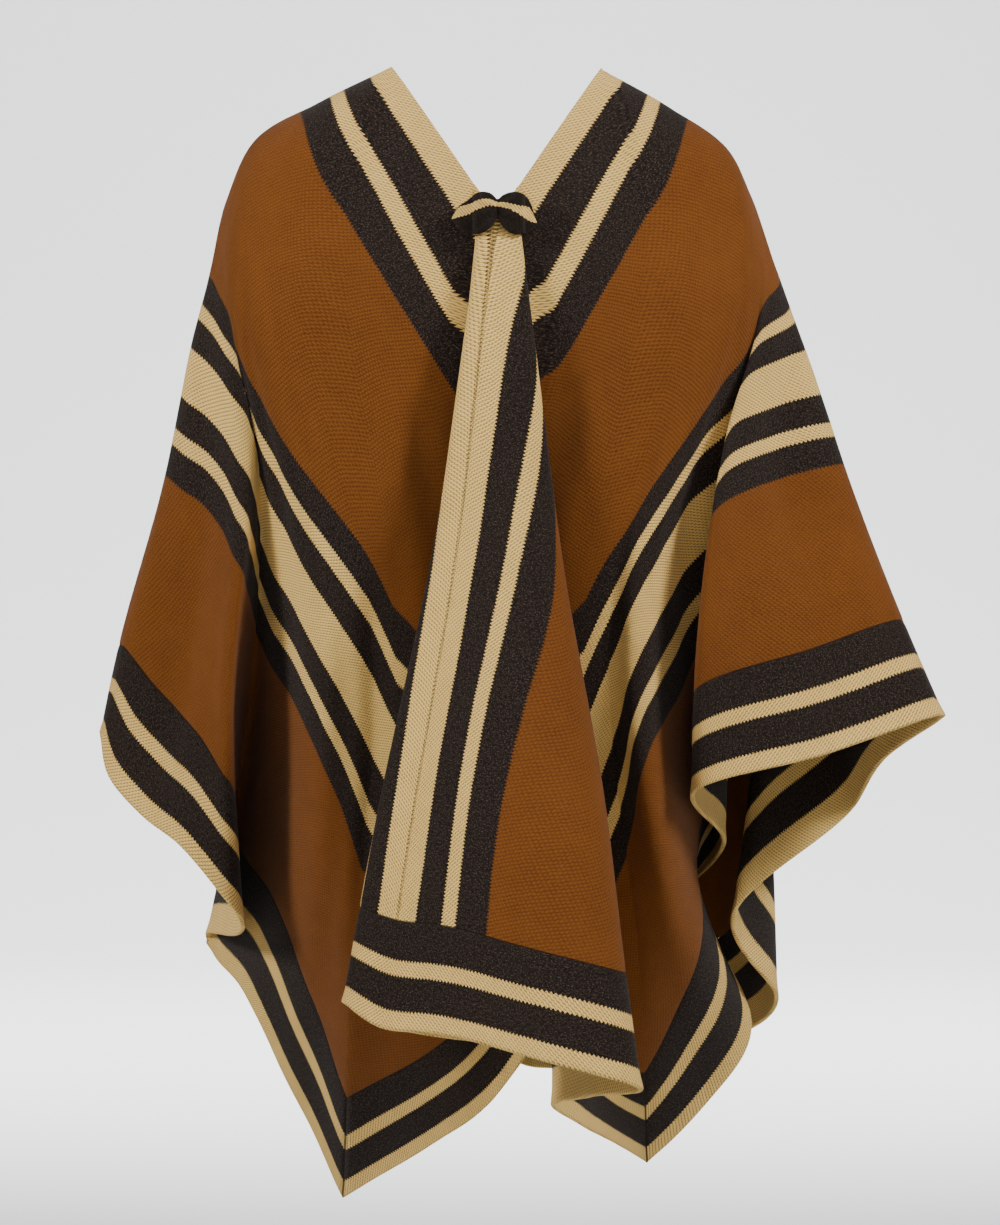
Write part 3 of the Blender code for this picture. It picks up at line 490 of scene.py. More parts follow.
def half_wall(cut):
    """Half the thickness of the cloth at each u, v."""
    edge = to_edge(cut)
    aside = np.abs(cut[:, 0])
    flat = WALL / 2
    sunk = np.exp(-((edge - BORDER) / SEAM_WIDTH) ** 2)
    on_slit = np.abs(cut[:, 1]) < SLIT
    sunk = np.maximum(sunk, np.where(on_slit, 0.0, np.exp(-(aside / SEAM_WIDTH) ** 2)) * (edge > BORDER))
    corner = np.abs((HALF_WIDTH - aside) - (HALF_LENGTH - np.abs(cut[:, 1]))) / math.sqrt(2)
    sunk = np.maximum(sunk, np.exp(-(corner / SEAM_WIDTH) ** 2) * (edge < BORDER))
    half = flat * (1 - SEAM_SINK * sunk)
    swell = np.clip(1 - edge / ROLL_WIDTH, 0.0, 1.0)
    swell = swell * swell * (3 - 2 * swell)
    half = np.minimum(half + (ROLL - flat) * swell, round_lip(edge, ROLL))
    lip = np.minimum(round_lip(aside, NECK_ROLL), NECK_ROLL)
    tapered = np.minimum(lip, np.maximum(half, lip * LIP_SWELL))
    return np.where(on_slit & (aside < LIP_REACH * NECK_ROLL), tapered, half)


def ripple(place, share):
    """How far hand-woven cloth stands off its own smooth folds: long soft waves, larger towards the hem."""
    free = np.clip(share / WAVES_WHOLE, 0.0, 1.0) ** 2
    return sum(wave.height * np.sin(2 * math.pi * place / wave.length + wave.start + wave.lean * share)
               for wave in WAVES) * free


def piece_of(place, row, panel_rows):
    """The piece that a face of the cloth belongs to: its place is round the edge, its row down the fold."""
    if row < panel_rows:
        return "panel_right" if place < 2 * QUARTER else "panel_left"
    if CORNERS[0] < place < CORNERS[1]:
        return "band_side_right"
    if CORNERS[1] < place < CORNERS[2]:
        return "band_back"
    return "band_side_left" if CORNERS[2] < place < CORNERS[3] else "band_front"


def weave_cloth():
    """The whole cloth: its corners, the way out at each, its u and v there, and the faces of each piece."""
    points, cuts, lifts, patches, grids, first = [], [], [], {}, [], 0
    for side in (-1, 1):
        places, starts = side_columns(side)
        shares, panel_rows = line_rows(border_shares(places))
        here, cut = cloth(places, starts, shares)
        grid = first + np.arange(here.shape[0] * here.shape[1]).reshape(here.shape[:2])
        first = grid.max() + 1
        points.append(here.reshape(-1, 3))
        cuts.append(cut.reshape(-1, 2))
        lifts.append(ripple(places[:, None], shares).reshape(-1))
        grids.append((places, grid, panel_rows))
    points, cuts, lifts = np.concatenate(points), np.concatenate(cuts), np.concatenate(lifts)
    _, kept, welded = np.unique(np.round(points, WELD_DIGITS), axis=0,
                                return_index=True, return_inverse=True)
    welded = welded.reshape(-1)
    points, cuts, lifts = points[kept], cuts[kept], lifts[kept]
    for places, grid, panel_rows in grids:
        grid = welded[grid]
        for column, row in np.ndindex(grid.shape[0] - 1, grid.shape[1] - 1):
            near, far = grid[column:column + 2, row:row + 2]
            face = tuple(dict.fromkeys((near[0], near[1], far[1], far[0])))
            if len(face) > 2:
                middle = (places[column] + places[column + 1]) / 2
                patches.setdefault(piece_of(middle, row, panel_rows), []).append(face)
    ways = ways_out(points, [face for patch in patches.values() for face in patch])
    points = points + ways * lifts[:, None]
    return points, ways, cuts, patches


def ways_out(points, faces):
    """The way out of the cloth at each corner."""
    ways = np.zeros_like(points)
    rounds = np.array([face if len(face) == 4 else face + face[-1:] for face in faces])
    near, left, far, right = (points[rounds[:, corner]] for corner in range(4))
    normals = np.cross(right - left, far - near)
    normals /= np.maximum(np.linalg.norm(normals, axis=1), TINY)[:, None]
    for corner in range(4):
        np.add.at(ways, rounds[:, corner], normals)
    return ways / np.maximum(np.linalg.norm(ways, axis=1), TINY)[:, None]


def closed_mesh(name, corners, faces):
    """A smooth mesh whose faces point outwards."""
    mesh = bpy.data.meshes.new(name)
    mesh.from_pydata(corners, [], faces)
    bm = bmesh.new()
    bm.from_mesh(mesh)
    bmesh.ops.recalc_face_normals(bm, faces=bm.faces)
    bm.to_mesh(mesh)
    bm.free()
    mesh.shade_smooth()
    return mesh


def cloth_piece(name):
    """A closed piece of the cloth, with u and v as its UV map and `inner` true on its inside."""
    patch = patches[name]
    sides = {}
    for face in patch:
        for near, far in zip(face, face[1:] + face[:1]):
            sides[near, far] = face
    rim = [edge for edge in sides if edge[::-1] not in sides]
    used = sorted({corner for face in patch for corner in face})
    number = {corner: place for place, corner in enumerate(used)}
    count = len(used)
    pull = np.zeros((count, 3))
    for near, far in rim:
        along = points[far] - points[near]
        into = np.mean(points[list(sides[near, far])], axis=0) - points[near]
        into -= along * (into @ along) / (along @ along)
        for corner in (near, far):
            pull[number[corner]] += into / np.linalg.norm(into)
    length = np.maximum(np.linalg.norm(pull, axis=1), TINY)[:, None]
    middle = points[used] + pull / length * SEAM_GAP / 2
    out = ways[used] * halves[used][:, None]
    faces = [tuple(number[corner] for corner in face) for face in patch]
    faces += [tuple(number[corner] + count for corner in reversed(face)) for face in patch]
    faces += [(number[far], number[near], number[near] + count, number[far] + count) for near, far in rim]
    mesh = closed_mesh("cloth_" + name, np.concatenate([middle + out, middle - out]).tolist(), faces)
    chart = mesh.uv_layers.new(name="cut")
    corners = np.empty(len(mesh.loops), int)
    mesh.loops.foreach_get("vertex_index", corners)
    chart.data.foreach_set("uv", np.tile(cuts[used], (2, 1))[corners].astype(np.float32).reshape(-1))
    inner = mesh.attributes.new("inner", "FLOAT", "POINT")
    inner.data.foreach_set("value", np.repeat([0.0, 1.0], count).astype(np.float32))
    piece = bpy.data.objects.new("cloth_" + name, mesh)
    bpy.context.scene.collection.objects.link(piece)
    return piece


points, ways, cuts, patches = weave_cloth()
halves = half_wall(cuts)


# All the yarn is hand-spun wool in three natural shades.  The brown is a fine twill, milled until it is
# soft; the dark is heathered and brushed; the beige is coarser, and the gaps between its yarns show.
class Yarn:
    """A value in a material's nodes that takes part in plain arithmetic."""

    def __init__(self, loom, socket):
        self.loom, self.socket = loom, socket

    def math(self, operation, *others, clamp=False):
        return self.loom.math(operation, [self, *others], clamp)

    def __add__(self, other):
        return self.math("ADD", other)

    def __sub__(self, other):
        return self.math("SUBTRACT", other)

    def __rsub__(self, other):
        return self.loom.math("SUBTRACT", [other, self])

    def __mul__(self, other):
        return self.math("MULTIPLY", other)

    def __truediv__(self, other):
        return self.math("DIVIDE", other)

    def __rtruediv__(self, other):
        return self.loom.math("DIVIDE", [other, self])

    def __lt__(self, other):
        return self.math("LESS_THAN", other)

    def __gt__(self, other):
        return self.math("GREATER_THAN", other)

    __radd__ = __add__
    __rmul__ = __mul__

    def absolute(self):
        return self.math("ABSOLUTE")

    def fraction(self):
        return self.math("FRACT")

    def whole(self):
        return self.math("FLOOR")

    def least(self, other):
        return self.math("MINIMUM", other)

    def most(self, other):
        return self.math("MAXIMUM", other)

    def clipped(self):
        return self.math("MULTIPLY", 1.0, clamp=True)

    def ridge(self):
        """0 at every whole number and 1 halfway between."""
        return (self.fraction() * math.pi).math("SINE")

    def tooth(self):
        """-0.5 halfway between whole numbers and 0.5 at them, straight between."""
        return (self.fraction() - 0.5).absolute() * 2 - 0.5

    def ramp(self, low, high):
        """0 below low, 1 above high, straight between."""
        return ((self - low) / (high - low)).clipped()

    def mix(self, other, share):
        return self + (other - self) * share


class Bench:
    """A tree of nodes, each of them made in one call."""

    def __init__(self, tree):
        self.tree = tree

    def set(self, node, values):
        """Values or links for a node's sockets, by name or in their order."""
        for key, value in (values.items() if isinstance(values, dict) else enumerate(values)):
            socket = node.inputs[key]
            if isinstance(value, Yarn):
                self.tree.links.new(value.socket, socket)
            elif isinstance(value, bpy.types.NodeSocket):
                self.tree.links.new(value, socket)
            else:
                socket.default_value = value

    def node(self, kind, settings=None, values=()):
        """A node of any kind: its settings first, then the values or links of its sockets."""
        node = self.tree.nodes.new(kind)
        for key, value in (settings or {}).items():
            if key == "stops":
                stops = node.color_ramp.elements
                while len(stops) < len(value):
                    stops.new(1.0)
                for stop, (position, colour) in zip(stops, value):
                    stop.position, stop.color = position, (*colour, 1.0)
            elif key == "interpolation":
                node.color_ramp.interpolation = value
            else:
                setattr(node, key, value)
        self.set(node, values)
        return node


SHEEN_ROUGHNESS = 0.55
DULL = 0.08             # wool hardly shines
Grain = namedtuple("Grain", "scale detail roughness")


class Loom(Bench):
    """One material, and the nodes that it is woven from."""

    def __init__(self, name, roughness=0.95, sheen=0.06):
        self.material = bpy.data.materials.new(name)
        self.material.use_nodes = True
        super().__init__(self.material.node_tree)
        self.shader = self.tree.nodes["Principled BSDF"]
        self.set(self.shader, {"Roughness": roughness, "Sheen Weight": sheen,
                               "Sheen Roughness": SHEEN_ROUGHNESS, "Specular IOR Level": DULL})

    def value(self, socket):
        return Yarn(self, socket)

    def math(self, operation, values, clamp=False):
        settings = {"operation": operation, "use_clamp": clamp}
        return self.value(self.node("ShaderNodeMath", settings, values).outputs[0])

    def noise(self, where, grain):
        """A random value that changes gently from place to place, 0.5 on average."""
        node = self.node("ShaderNodeTexNoise", {}, {"Vector": where, "Scale": grain.scale,
                                                    "Detail": grain.detail, "Roughness": grain.roughness})
        return self.value(node.outputs["Fac"])

    def blend(self, near, far, share):
        """A colour between two others, which are links or plain colours."""
        near, far = [(*shade, 1.0) if isinstance(shade, tuple) else shade for shade in (near, far)]
        node = self.node("ShaderNodeMix", {"data_type": "RGBA"}, {0: share, 6: near, 7: far})
        return node.outputs[2]

    def finish(self, colour, height, distance):
        bump = self.node("ShaderNodeBump", {}, {"Strength": 1.0, "Distance": distance, "Height": height})
        self.set(self.shader, {"Base Color": colour, "Normal": bump.outputs[0]})
        return self.material


Dye = namedtuple("Dye", "crown gap")    # on the crown of a yarn, and in the gap between two
BROWN = Dye((0.240, 0.080, 0.014), (0.085, 0.024, 0.004))
DARK = Dye((0.030, 0.020, 0.014), (0.006, 0.004, 0.003))
BEIGE = Dye((1.000, 0.650, 0.205), (0.160, 0.078, 0.016))
FLECK = (0.150, 0.115, 0.100)           # pale hairs in the dark yarn
RUST = (0.085, 0.040, 0.022)            # and brown ones
TOOTH = 0.0034          # two wefts: the length of one tooth along the edge of a stripe
TOOTH_DEPTH = 0.0024
WANDER = 0.004          # how far a stripe strays from straight

# What varies over the cloth, from the slowest to the finest.
DYEING = Grain(6.0, 2.0, 0.5)
STRAY = Grain(9.0, 1.0, 0.5)            # stripes, from straight
WEAR = Grain(42.0, 3.0, 0.6)
SLUB = Grain(160.0, 2.0, 0.5)           # the yarn's thickness
HEATHER = Grain(330.0, 3.0, 0.75)       # the mixed fibres of the dark yarn
FUZZ = Grain(420.0, 3.0, 0.7)
HAIR = Grain(700.0, 2.0, 0.6)

# Slanting ribs: how far apart they lie across and along the cloth, the floats that each is broken into,
# how much an uneven yarn shifts them, and the share of the relief that ribs and floats make.
Weave = namedtuple("Weave", "across along float slub rib_share float_share")
TWILL = Weave(0.0074, 0.0037, 0.0031, 0.60, 0.36, 0.28)
COARSE = Weave(0.0039, 0.0039, 0.0028, 0.30, 0.55, 0.45)
TWILL_FUZZ = 0.36       # the rest of the twill's relief
PILE = 0.0011           # height of the whole relief
FUZZ_RELIEF = 0.35      # shares of it that lie over all three yarns
HAIR_RELIEF = 0.20

# How each yarn takes its colour: the relief at which it is gap and at which it is crown, how far that
# decides the colour, how much dye, wear and fuzz change it, what is added, and its share of the pile.
Finish = namedtuple("Finish", "low high share dye wear fuzz more relief")
BROWN_FINISH = Finish(0.16, 0.92, 0.95, 0.40, 0.30, 0.45, 0.04, 0.45)
DARK_FINISH = Finish(0.30, 0.72, 0.90, 0.30, 0.00, 0.00, 0.00, 0.55)
BEIGE_FINISH = Finish(0.22, 0.66, 0.96, 0.00, 0.30, 0.35, 0.06, 0.90)
FLECK_HAIRS = (0.55, 0.68)              # hair at which a pale fleck begins to show, and shows whole
RUST_HAIRS = (0.42, 0.60)
RUST_PATCHES = (0.52, 0.66)             # heather in which the brown hairs lie
HAIRS_SHOWN = 0.60
Stripe = namedtuple("Stripe", "start yarn")
PANEL_STRIPES = (       # from the centre seam outwards
    Stripe(0.000, "beige"), Stripe(0.023, "dark"), Stripe(0.053, "beige"), Stripe(0.068, "dark"),
    Stripe(0.098, "brown"), Stripe(0.288, "dark"), Stripe(0.318, "beige"), Stripe(0.333, "dark"),
    Stripe(0.363, "beige"), Stripe(0.410, "dark"), Stripe(0.440, "beige"), Stripe(0.455, "dark"),
    Stripe(0.485, "brown"),
)
YARN_MASKS = {"brown": (1, 0, 0), "dark": (0, 1, 0), "beige": (0, 0, 1)}
# Painted shade, dark as the hollow of a seam: it lies between the stitches, in each mitre and along the
# edges where the border is sewn on.
SEAM_PAINTED_SHADE = (0.020, 0.013, 0.009)
SEAM_GROOVE = 0.0016    # half the width of the line of painted shade at the centre seam and at a mitre
GROOVE_PAINTED_SHADE = 0.8       # share of the painted seam shade in that line
PANEL_TURN = 0.0010     # width of the line of painted shade on the panel, where the border is sewn on
TURN_PAINTED_SHADE = 0.7
STITCH_PITCH = 0.0039   # of the seam between the two panels
STITCH_SLANT = 0.0055   # across the seam, over which a gap between stitches moves on by one


def woven(weave, across, along, run, slub):
    """Relief of slanting ribs, each broken into floats along the way `run`."""
    rib = across / weave.across + along / weave.along + slub * weave.slub
    floats = (run / weave.float + rib.whole() * 0.5).ridge()
    return rib.ridge() * weave.rib_share + floats * weave.float_share


def lit(relief, finish, dyed, worn, fuzz):
    """How far a yarn has the colour of its crown, from 0 to 1."""
    evenly = relief.ramp(finish.low, finish.high) * finish.share + finish.more
    return (evenly + dyed * finish.dye + worn * finish.wear + fuzz * finish.fuzz).clipped()


def wool(name, stripes, pattern):
    """Striped wool.

    pattern(loom, u, v) gives the distance that the stripes are counted from, the ways across and along a
    yarn, and how much painted shade darkens the cloth in its seams.
    """
    loom = Loom(name)
    chart = loom.node("ShaderNodeUVMap", {"uv_map": "cut"}).outputs[0]
    split = loom.node("ShaderNodeSeparateXYZ", {}, [chart])
    u, v = loom.value(split.outputs[0]), loom.value(split.outputs[1])
    # sewn: how much painted seam shade darkens the cloth
    counted, across, along, sewn = pattern(loom, u, v)

    # Stripes, with a tooth at every second weft where the yarn changes.
    stray = loom.noise(chart, STRAY) - 0.5
    counted = counted + (along / TOOTH).tooth() * TOOTH_DEPTH + stray * WANDER
    stops = [(stripe.start / HALF_WIDTH, YARN_MASKS[stripe.yarn]) for stripe in stripes]
    masks = loom.node("ShaderNodeValToRGB", {"interpolation": "CONSTANT", "stops": stops},
                      [counted / HALF_WIDTH])
    yarns = loom.node("ShaderNodeSeparateColor", {}, [masks.outputs[0]])
    brown, dark, beige = (loom.value(yarns.outputs[band]) for band in range(3))

    # Weave, which slants the other way on the other panel.
    slub = loom.noise(chart, SLUB) - 0.5
    fuzz = loom.noise(chart, FUZZ)
    hair = loom.noise(chart, HAIR)
    heather = loom.noise(chart, HEATHER)
    slanting = across * u.math("SIGN")
    fine = woven(TWILL, slanting, along, across, slub) + fuzz * TWILL_FUZZ
    coarse = woven(COARSE, slanting, along, along, slub)

    # Colour, yarn by yarn.
    uneven = [loom.noise(chart, DYEING) - 0.5, loom.noise(chart, WEAR) - 0.5, fuzz - 0.5]
    brown_colour = loom.blend(BROWN.gap, BROWN.crown, lit(fine, BROWN_FINISH, *uneven))
    dark_colour = loom.blend(DARK.gap, DARK.crown, lit(heather, DARK_FINISH, *uneven))
    dark_colour = loom.blend(dark_colour, FLECK, hair.ramp(*FLECK_HAIRS) * HAIRS_SHOWN)
    rust_hair = heather.ramp(*RUST_PATCHES) * hair.ramp(*RUST_HAIRS)
    dark_colour = loom.blend(dark_colour, RUST, rust_hair * HAIRS_SHOWN)
    beige_colour = loom.blend(BEIGE.gap, BEIGE.crown, lit(coarse, BEIGE_FINISH, *uneven))
    colour = loom.blend(loom.blend(brown_colour, dark_colour, dark), beige_colour, beige)
    # Painted shade in the seams, over the colour of the yarn.
    colour = loom.blend(colour, SEAM_PAINTED_SHADE, sewn)
    height = (brown * fine * BROWN_FINISH.relief + beige * coarse * BEIGE_FINISH.relief
              + dark * heather * DARK_FINISH.relief + fuzz * FUZZ_RELIEF + hair * HAIR_RELIEF)
    return loom.finish(colour, height, PILE)


def panel_pattern(loom, u, v):
    """Stripes run along v; painted shade fills the gap between every two stitches of the centre seam."""
    aside = u.absolute()
    # Painted shade: in the gaps between the stitches of the centre seam, and along the panel's edge at the
    # border.
    between = (v / STITCH_PITCH + u / STITCH_SLANT).fraction() < 0.5
    gap = between * (aside < SEAM_GROOVE) * (v.absolute() > SLIT)
    from_border = (HALF_WIDTH - aside).least(HALF_LENGTH - v.absolute()) - BORDER
    return aside, u, v, (gap * GROOVE_PAINTED_SHADE).most((from_border < PANEL_TURN) * TURN_PAINTED_SHADE)


panel_wool = wool("striped_wool", PANEL_STRIPES, panel_pattern)
for name in ("panel_right", "panel_left"):
    piece = cloth_piece(name)
    piece.data.materials.append(panel_wool)
    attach(piece, "root")
    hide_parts(name)

# ================================================================ the four border strips
# Strips of dark wool with a beige edge and a beige stripe, sewn on all round with their corners mitred.
# The beige edge is turned over to the inside, so it is thicker and shows wider there.
BORDER_STRIPES = (      # from the outer edge inwards
    Stripe(0.000, "beige"), Stripe(0.016, "dark"), Stripe(0.050, "beige"), Stripe(0.065, "dark"),
)
EDGE_INSIDE = 0.009     # how much wider the beige edge is on the inside, where it is turned over
STRIP_TURN = 0.0008     # width of the line of painted shade on the strip, where it is sewn to a panel


def border_pattern(loom, u, v):
    """Stripes run along the nearest edge; painted shade lies along each mitre and where a panel begins."""
    from_side = HALF_WIDTH - u.absolute()
    from_hem = HALF_LENGTH - v.absolute()
    edge = from_side.least(from_hem)
    inner = loom.value(loom.node("ShaderNodeAttribute", {"attribute_name": "inner"}).outputs["Fac"])
    counted = (edge - inner * EDGE_INSIDE).most(0.0)
    # Painted shade along each mitre and along the strip's sewn edge.
    mitre = ((from_side - from_hem).absolute() < SEAM_GROOVE) * GROOVE_PAINTED_SHADE
    sewn = mitre.most((edge > BORDER - STRIP_TURN) * TURN_PAINTED_SHADE)
    return counted, edge, u.mix(v, from_side < from_hem), sewn


border_wool = wool("border_wool", BORDER_STRIPES, border_pattern)
BORDER_LENGTHS = {"band_front": 2 * HALF_WIDTH, "band_back": 2 * HALF_WIDTH,
                  "band_side_right": 2 * HALF_LENGTH, "band_side_left": 2 * HALF_LENGTH}
for name, length in BORDER_LENGTHS.items():
    piece = cloth_piece(name)
    piece.data.materials.append(border_wool)
    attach(piece, "root")
    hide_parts(name)

# ================================================================ the stitches of the centre seam
# The two panels are joined edge to edge with one slanting stitch after another, in beige wool.  Each stitch
# bites into both selvedges; the seam runs from the foot of the neck slit down to the border strip.
STITCH_LENGTH = 0.0046
STITCH_WIDTH = 0.0017
STITCH_LEAN = math.radians(34)
STITCH_RISE = 0.0002    # middle of the thread, above the sunk selvedges
BESIDE_STITCH = 0.004   # how far to each side of the seam the cloth's slope is read
SEAM_STEPS = 1200       # points in which the seam is measured


def seam_course(place):
    """Points a stitch apart down the centre seam, and the turn that lays a stitch on the cloth at each."""
    shares = np.linspace(0, float(border_shares([place])[0]), SEAM_STEPS)
    left, seam, right = [cloth([at % RING], tops(np.array([at % RING])), shares[None])[0][0]
                         for at in (place - BESIDE_STITCH, place, place + BESIDE_STITCH)]
    run = np.concatenate([[0], np.cumsum(np.linalg.norm(np.diff(seam, axis=0), axis=1))])
    spots, turns = [], []
    for mark in np.arange(STITCH_PITCH, run[-1] - STITCH_PITCH / 2, STITCH_PITCH):
        reads = ((seam, mark), (left, mark), (right, mark), (seam, mark + STITCH_PITCH / 2))
        middle, near, far, ahead = [
            np.array([np.interp(at, run, line[:, axis]) for axis in range(3)]) for line, at in reads]
        down = Vector(ahead - middle).normalized()
        across = Vector(far - near)
        out = down.cross(across).normalized()
        if out.y * (1 if place else -1) < 0:
            out.negate()
        across = out.cross(down)
        leaning = down * math.sin(STITCH_LEAN) + across * math.cos(STITCH_LEAN)
        grip = Matrix((leaning, out.cross(leaning), out)).transposed()
        spots.append(middle + np.array(out) * (WALL / 2 * (1 - SEAM_SINK) + STITCH_RISE))
        turns.append(grip.to_euler())
    return spots, turns


def stitching():
    """A group of nodes that lays one short thread on every point, turned as the point's `turn` says."""
    group = bpy.data.node_groups.new("stitching", "GeometryNodeTree")
    kinds = {"Points": "Geometry", "Length": "Float", "Width": "Float", "Yarn": "Material"}
    sockets = {name: group.interface.new_socket(name, in_out="INPUT", socket_type="NodeSocket" + kind)
               for name, kind in kinds.items()}
    group.interface.new_socket("Stitches", in_out="OUTPUT", socket_type="NodeSocketGeometry")
    work = Bench(group)
    given = work.node("NodeGroupInput").outputs
    # A thread is a ball 1 across, which the sizes stretch.
    thread = work.node("GeometryNodeMeshIcoSphere", {}, {"Radius": 0.5, "Subdivisions": 2})
    size = work.node("ShaderNodeCombineXYZ", {}, [given["Length"], given["Width"], given["Width"]])
    turn = work.node("GeometryNodeInputNamedAttribute", {"data_type": "FLOAT_VECTOR"}, {"Name": "turn"})
    lay = work.node("GeometryNodeInstanceOnPoints", {}, {
        "Points": given["Points"], "Instance": thread.outputs["Mesh"],
        "Rotation": turn.outputs["Attribute"], "Scale": size.outputs[0]})
    real = work.node("GeometryNodeRealizeInstances", {}, [lay.outputs[0]])
    smooth = work.node("GeometryNodeSetShadeSmooth", {}, [real.outputs[0]])
    dye = work.node("GeometryNodeSetMaterial", {}, {"Geometry": smooth.outputs[0],
                                                    "Material": given["Yarn"]})
    work.node("NodeGroupOutput", {}, [dye.outputs[0]])
    return group, {name: socket.identifier for name, socket in sockets.items()}


def stitches(name, spots, turns, material):
    """One mesh of stitches at the spots."""
    group, inputs = stitching()
    mesh = bpy.data.meshes.new(name + "_places")
    mesh.from_pydata([tuple(spot) for spot in spots], [], [])
    turn = mesh.attributes.new("turn", "FLOAT_VECTOR", "POINT")
    turn.data.foreach_set("vector", np.array(turns, np.float32).reshape(-1))
    places = bpy.data.objects.new(name + "_places", mesh)
    bpy.context.scene.collection.objects.link(places)
    sewing = places.modifiers.new("sewing", "NODES")
    sewing.node_group = group
    sewing[inputs["Length"]] = STITCH_LENGTH
    sewing[inputs["Width"]] = STITCH_WIDTH
    sewing[inputs["Yarn"]] = material
    ready = places.evaluated_get(bpy.context.evaluated_depsgraph_get())
    sewn = bpy.data.meshes.new_from_object(ready)
    bpy.data.objects.remove(places, do_unlink=True)
    piece = bpy.data.objects.new(name, sewn)
    bpy.context.scene.collection.objects.link(piece)
    return piece


THREAD_FLUFF = Grain(900.0, 3.0, 0.65)
THREAD_LIT = (0.30, 0.62)               # fluff at which the thread is dark as a gap, and light as a crown
THREAD_PILE = 0.0006


def thread_wool(name, dye):
    """Plied wool yarn with a soft surface."""
    loom = Loom(name)
    where = loom.node("ShaderNodeTexCoord").outputs["Object"]
    fluff = loom.noise(where, THREAD_FLUFF)
    return loom.finish(loom.blend(dye.gap, dye.crown, fluff.ramp(*THREAD_LIT)), fluff, THREAD_PILE)


beige_yarn = thread_wool("beige_yarn", BEIGE)
Seam = namedtuple("Seam", "name place node")
CENTRE_SEAMS = (
    Seam("seam_stitches_front", 0.0, "panel_right"),
    Seam("seam_stitches_back", 2 * QUARTER, "panel_left"),
)
for name, place, node in CENTRE_SEAMS:
    spots, turns = seam_course(place)
    sewn = stitches(name, spots, turns, beige_yarn)
    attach(sewn, "root")
    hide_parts(node)

# ================================================================ the tab over the foot of the slit
# A short strip cut from the striped border, laid flat over the foot of the slit and drawn together in the
# middle by its stitches, so that folds run out from there.  Its beige stripe bows across it.
Tab = namedtuple("Tab", "x top band_top band_low low thick")
TAB = (                 # millimetres: x to the wearer's left, then how far below the origin; thickness
    Tab(-42.5, 150.0, 150.5, 152.0, 153.0, 2.6),
    Tab(-36.5, 140.5, 141.5, 150.5, 159.0, 5.0),
    Tab(-29.0, 135.5, 139.0, 148.5, 165.5, 6.5),
    Tab(-20.5, 129.5, 137.0, 145.0, 167.5, 7.5),
    Tab(-11.0, 128.0, 135.0, 141.5, 165.5, 7.0),
    Tab(-3.5, 131.0, 136.0, 141.0, 159.0, 5.5),
    Tab(0.0, 134.5, 137.5, 141.5, 153.5, 4.5),
    Tab(5.5, 131.0, 138.0, 142.0, 161.0, 5.5),
    Tab(12.5, 128.5, 139.5, 144.0, 166.5, 7.0),
    Tab(21.5, 128.5, 141.5, 149.0, 167.5, 7.5),
    Tab(31.0, 135.5, 142.0, 154.5, 163.5, 5.5),
    Tab(37.5, 154.0, 154.8, 156.0, 157.0, 2.6),
)
MILLIMETRES = 1000      # in a metre
TAB_COLUMNS = 84
TAB_TURNS = 56
TAB_FOLDS = 9.0         # folds in half a turn round the pinch
TAB_FOLD_DEPTH = 0.0011
TAB_CLEAR = 0.0003
TAB_PINCH = (0.0, -0.143)
TAB_TIP = 0.0006        # half the height left at each end
TAB_SEATS = 9           # places up and down at which the cloth behind it is felt for
TAB_SEAT_ASIDE = 0.003  # and how far to each side
WELL_BEFORE = -1.0      # y from which it is felt for
TAB_FOLDS_WHOLE = 0.012 # distance from the pinch at which the folds have their whole depth
TAB_FOLDS_APART = 0.004 # keeps them from meeting in one point
TAB_SQUARE = (0.8, 0.7) # how square its section is, up and down and from front to back; 1 is round


def cloth_front(panels, x, z):
    """y of the foremost cloth at x and z, or 0 where only the back shows."""
    hits = [panel.ray_cast((x, WELL_BEFORE, z), (0, 1, 0)) for panel in panels]
    return min([place.y for hit, place, _, _ in hits if hit], default=0.0)


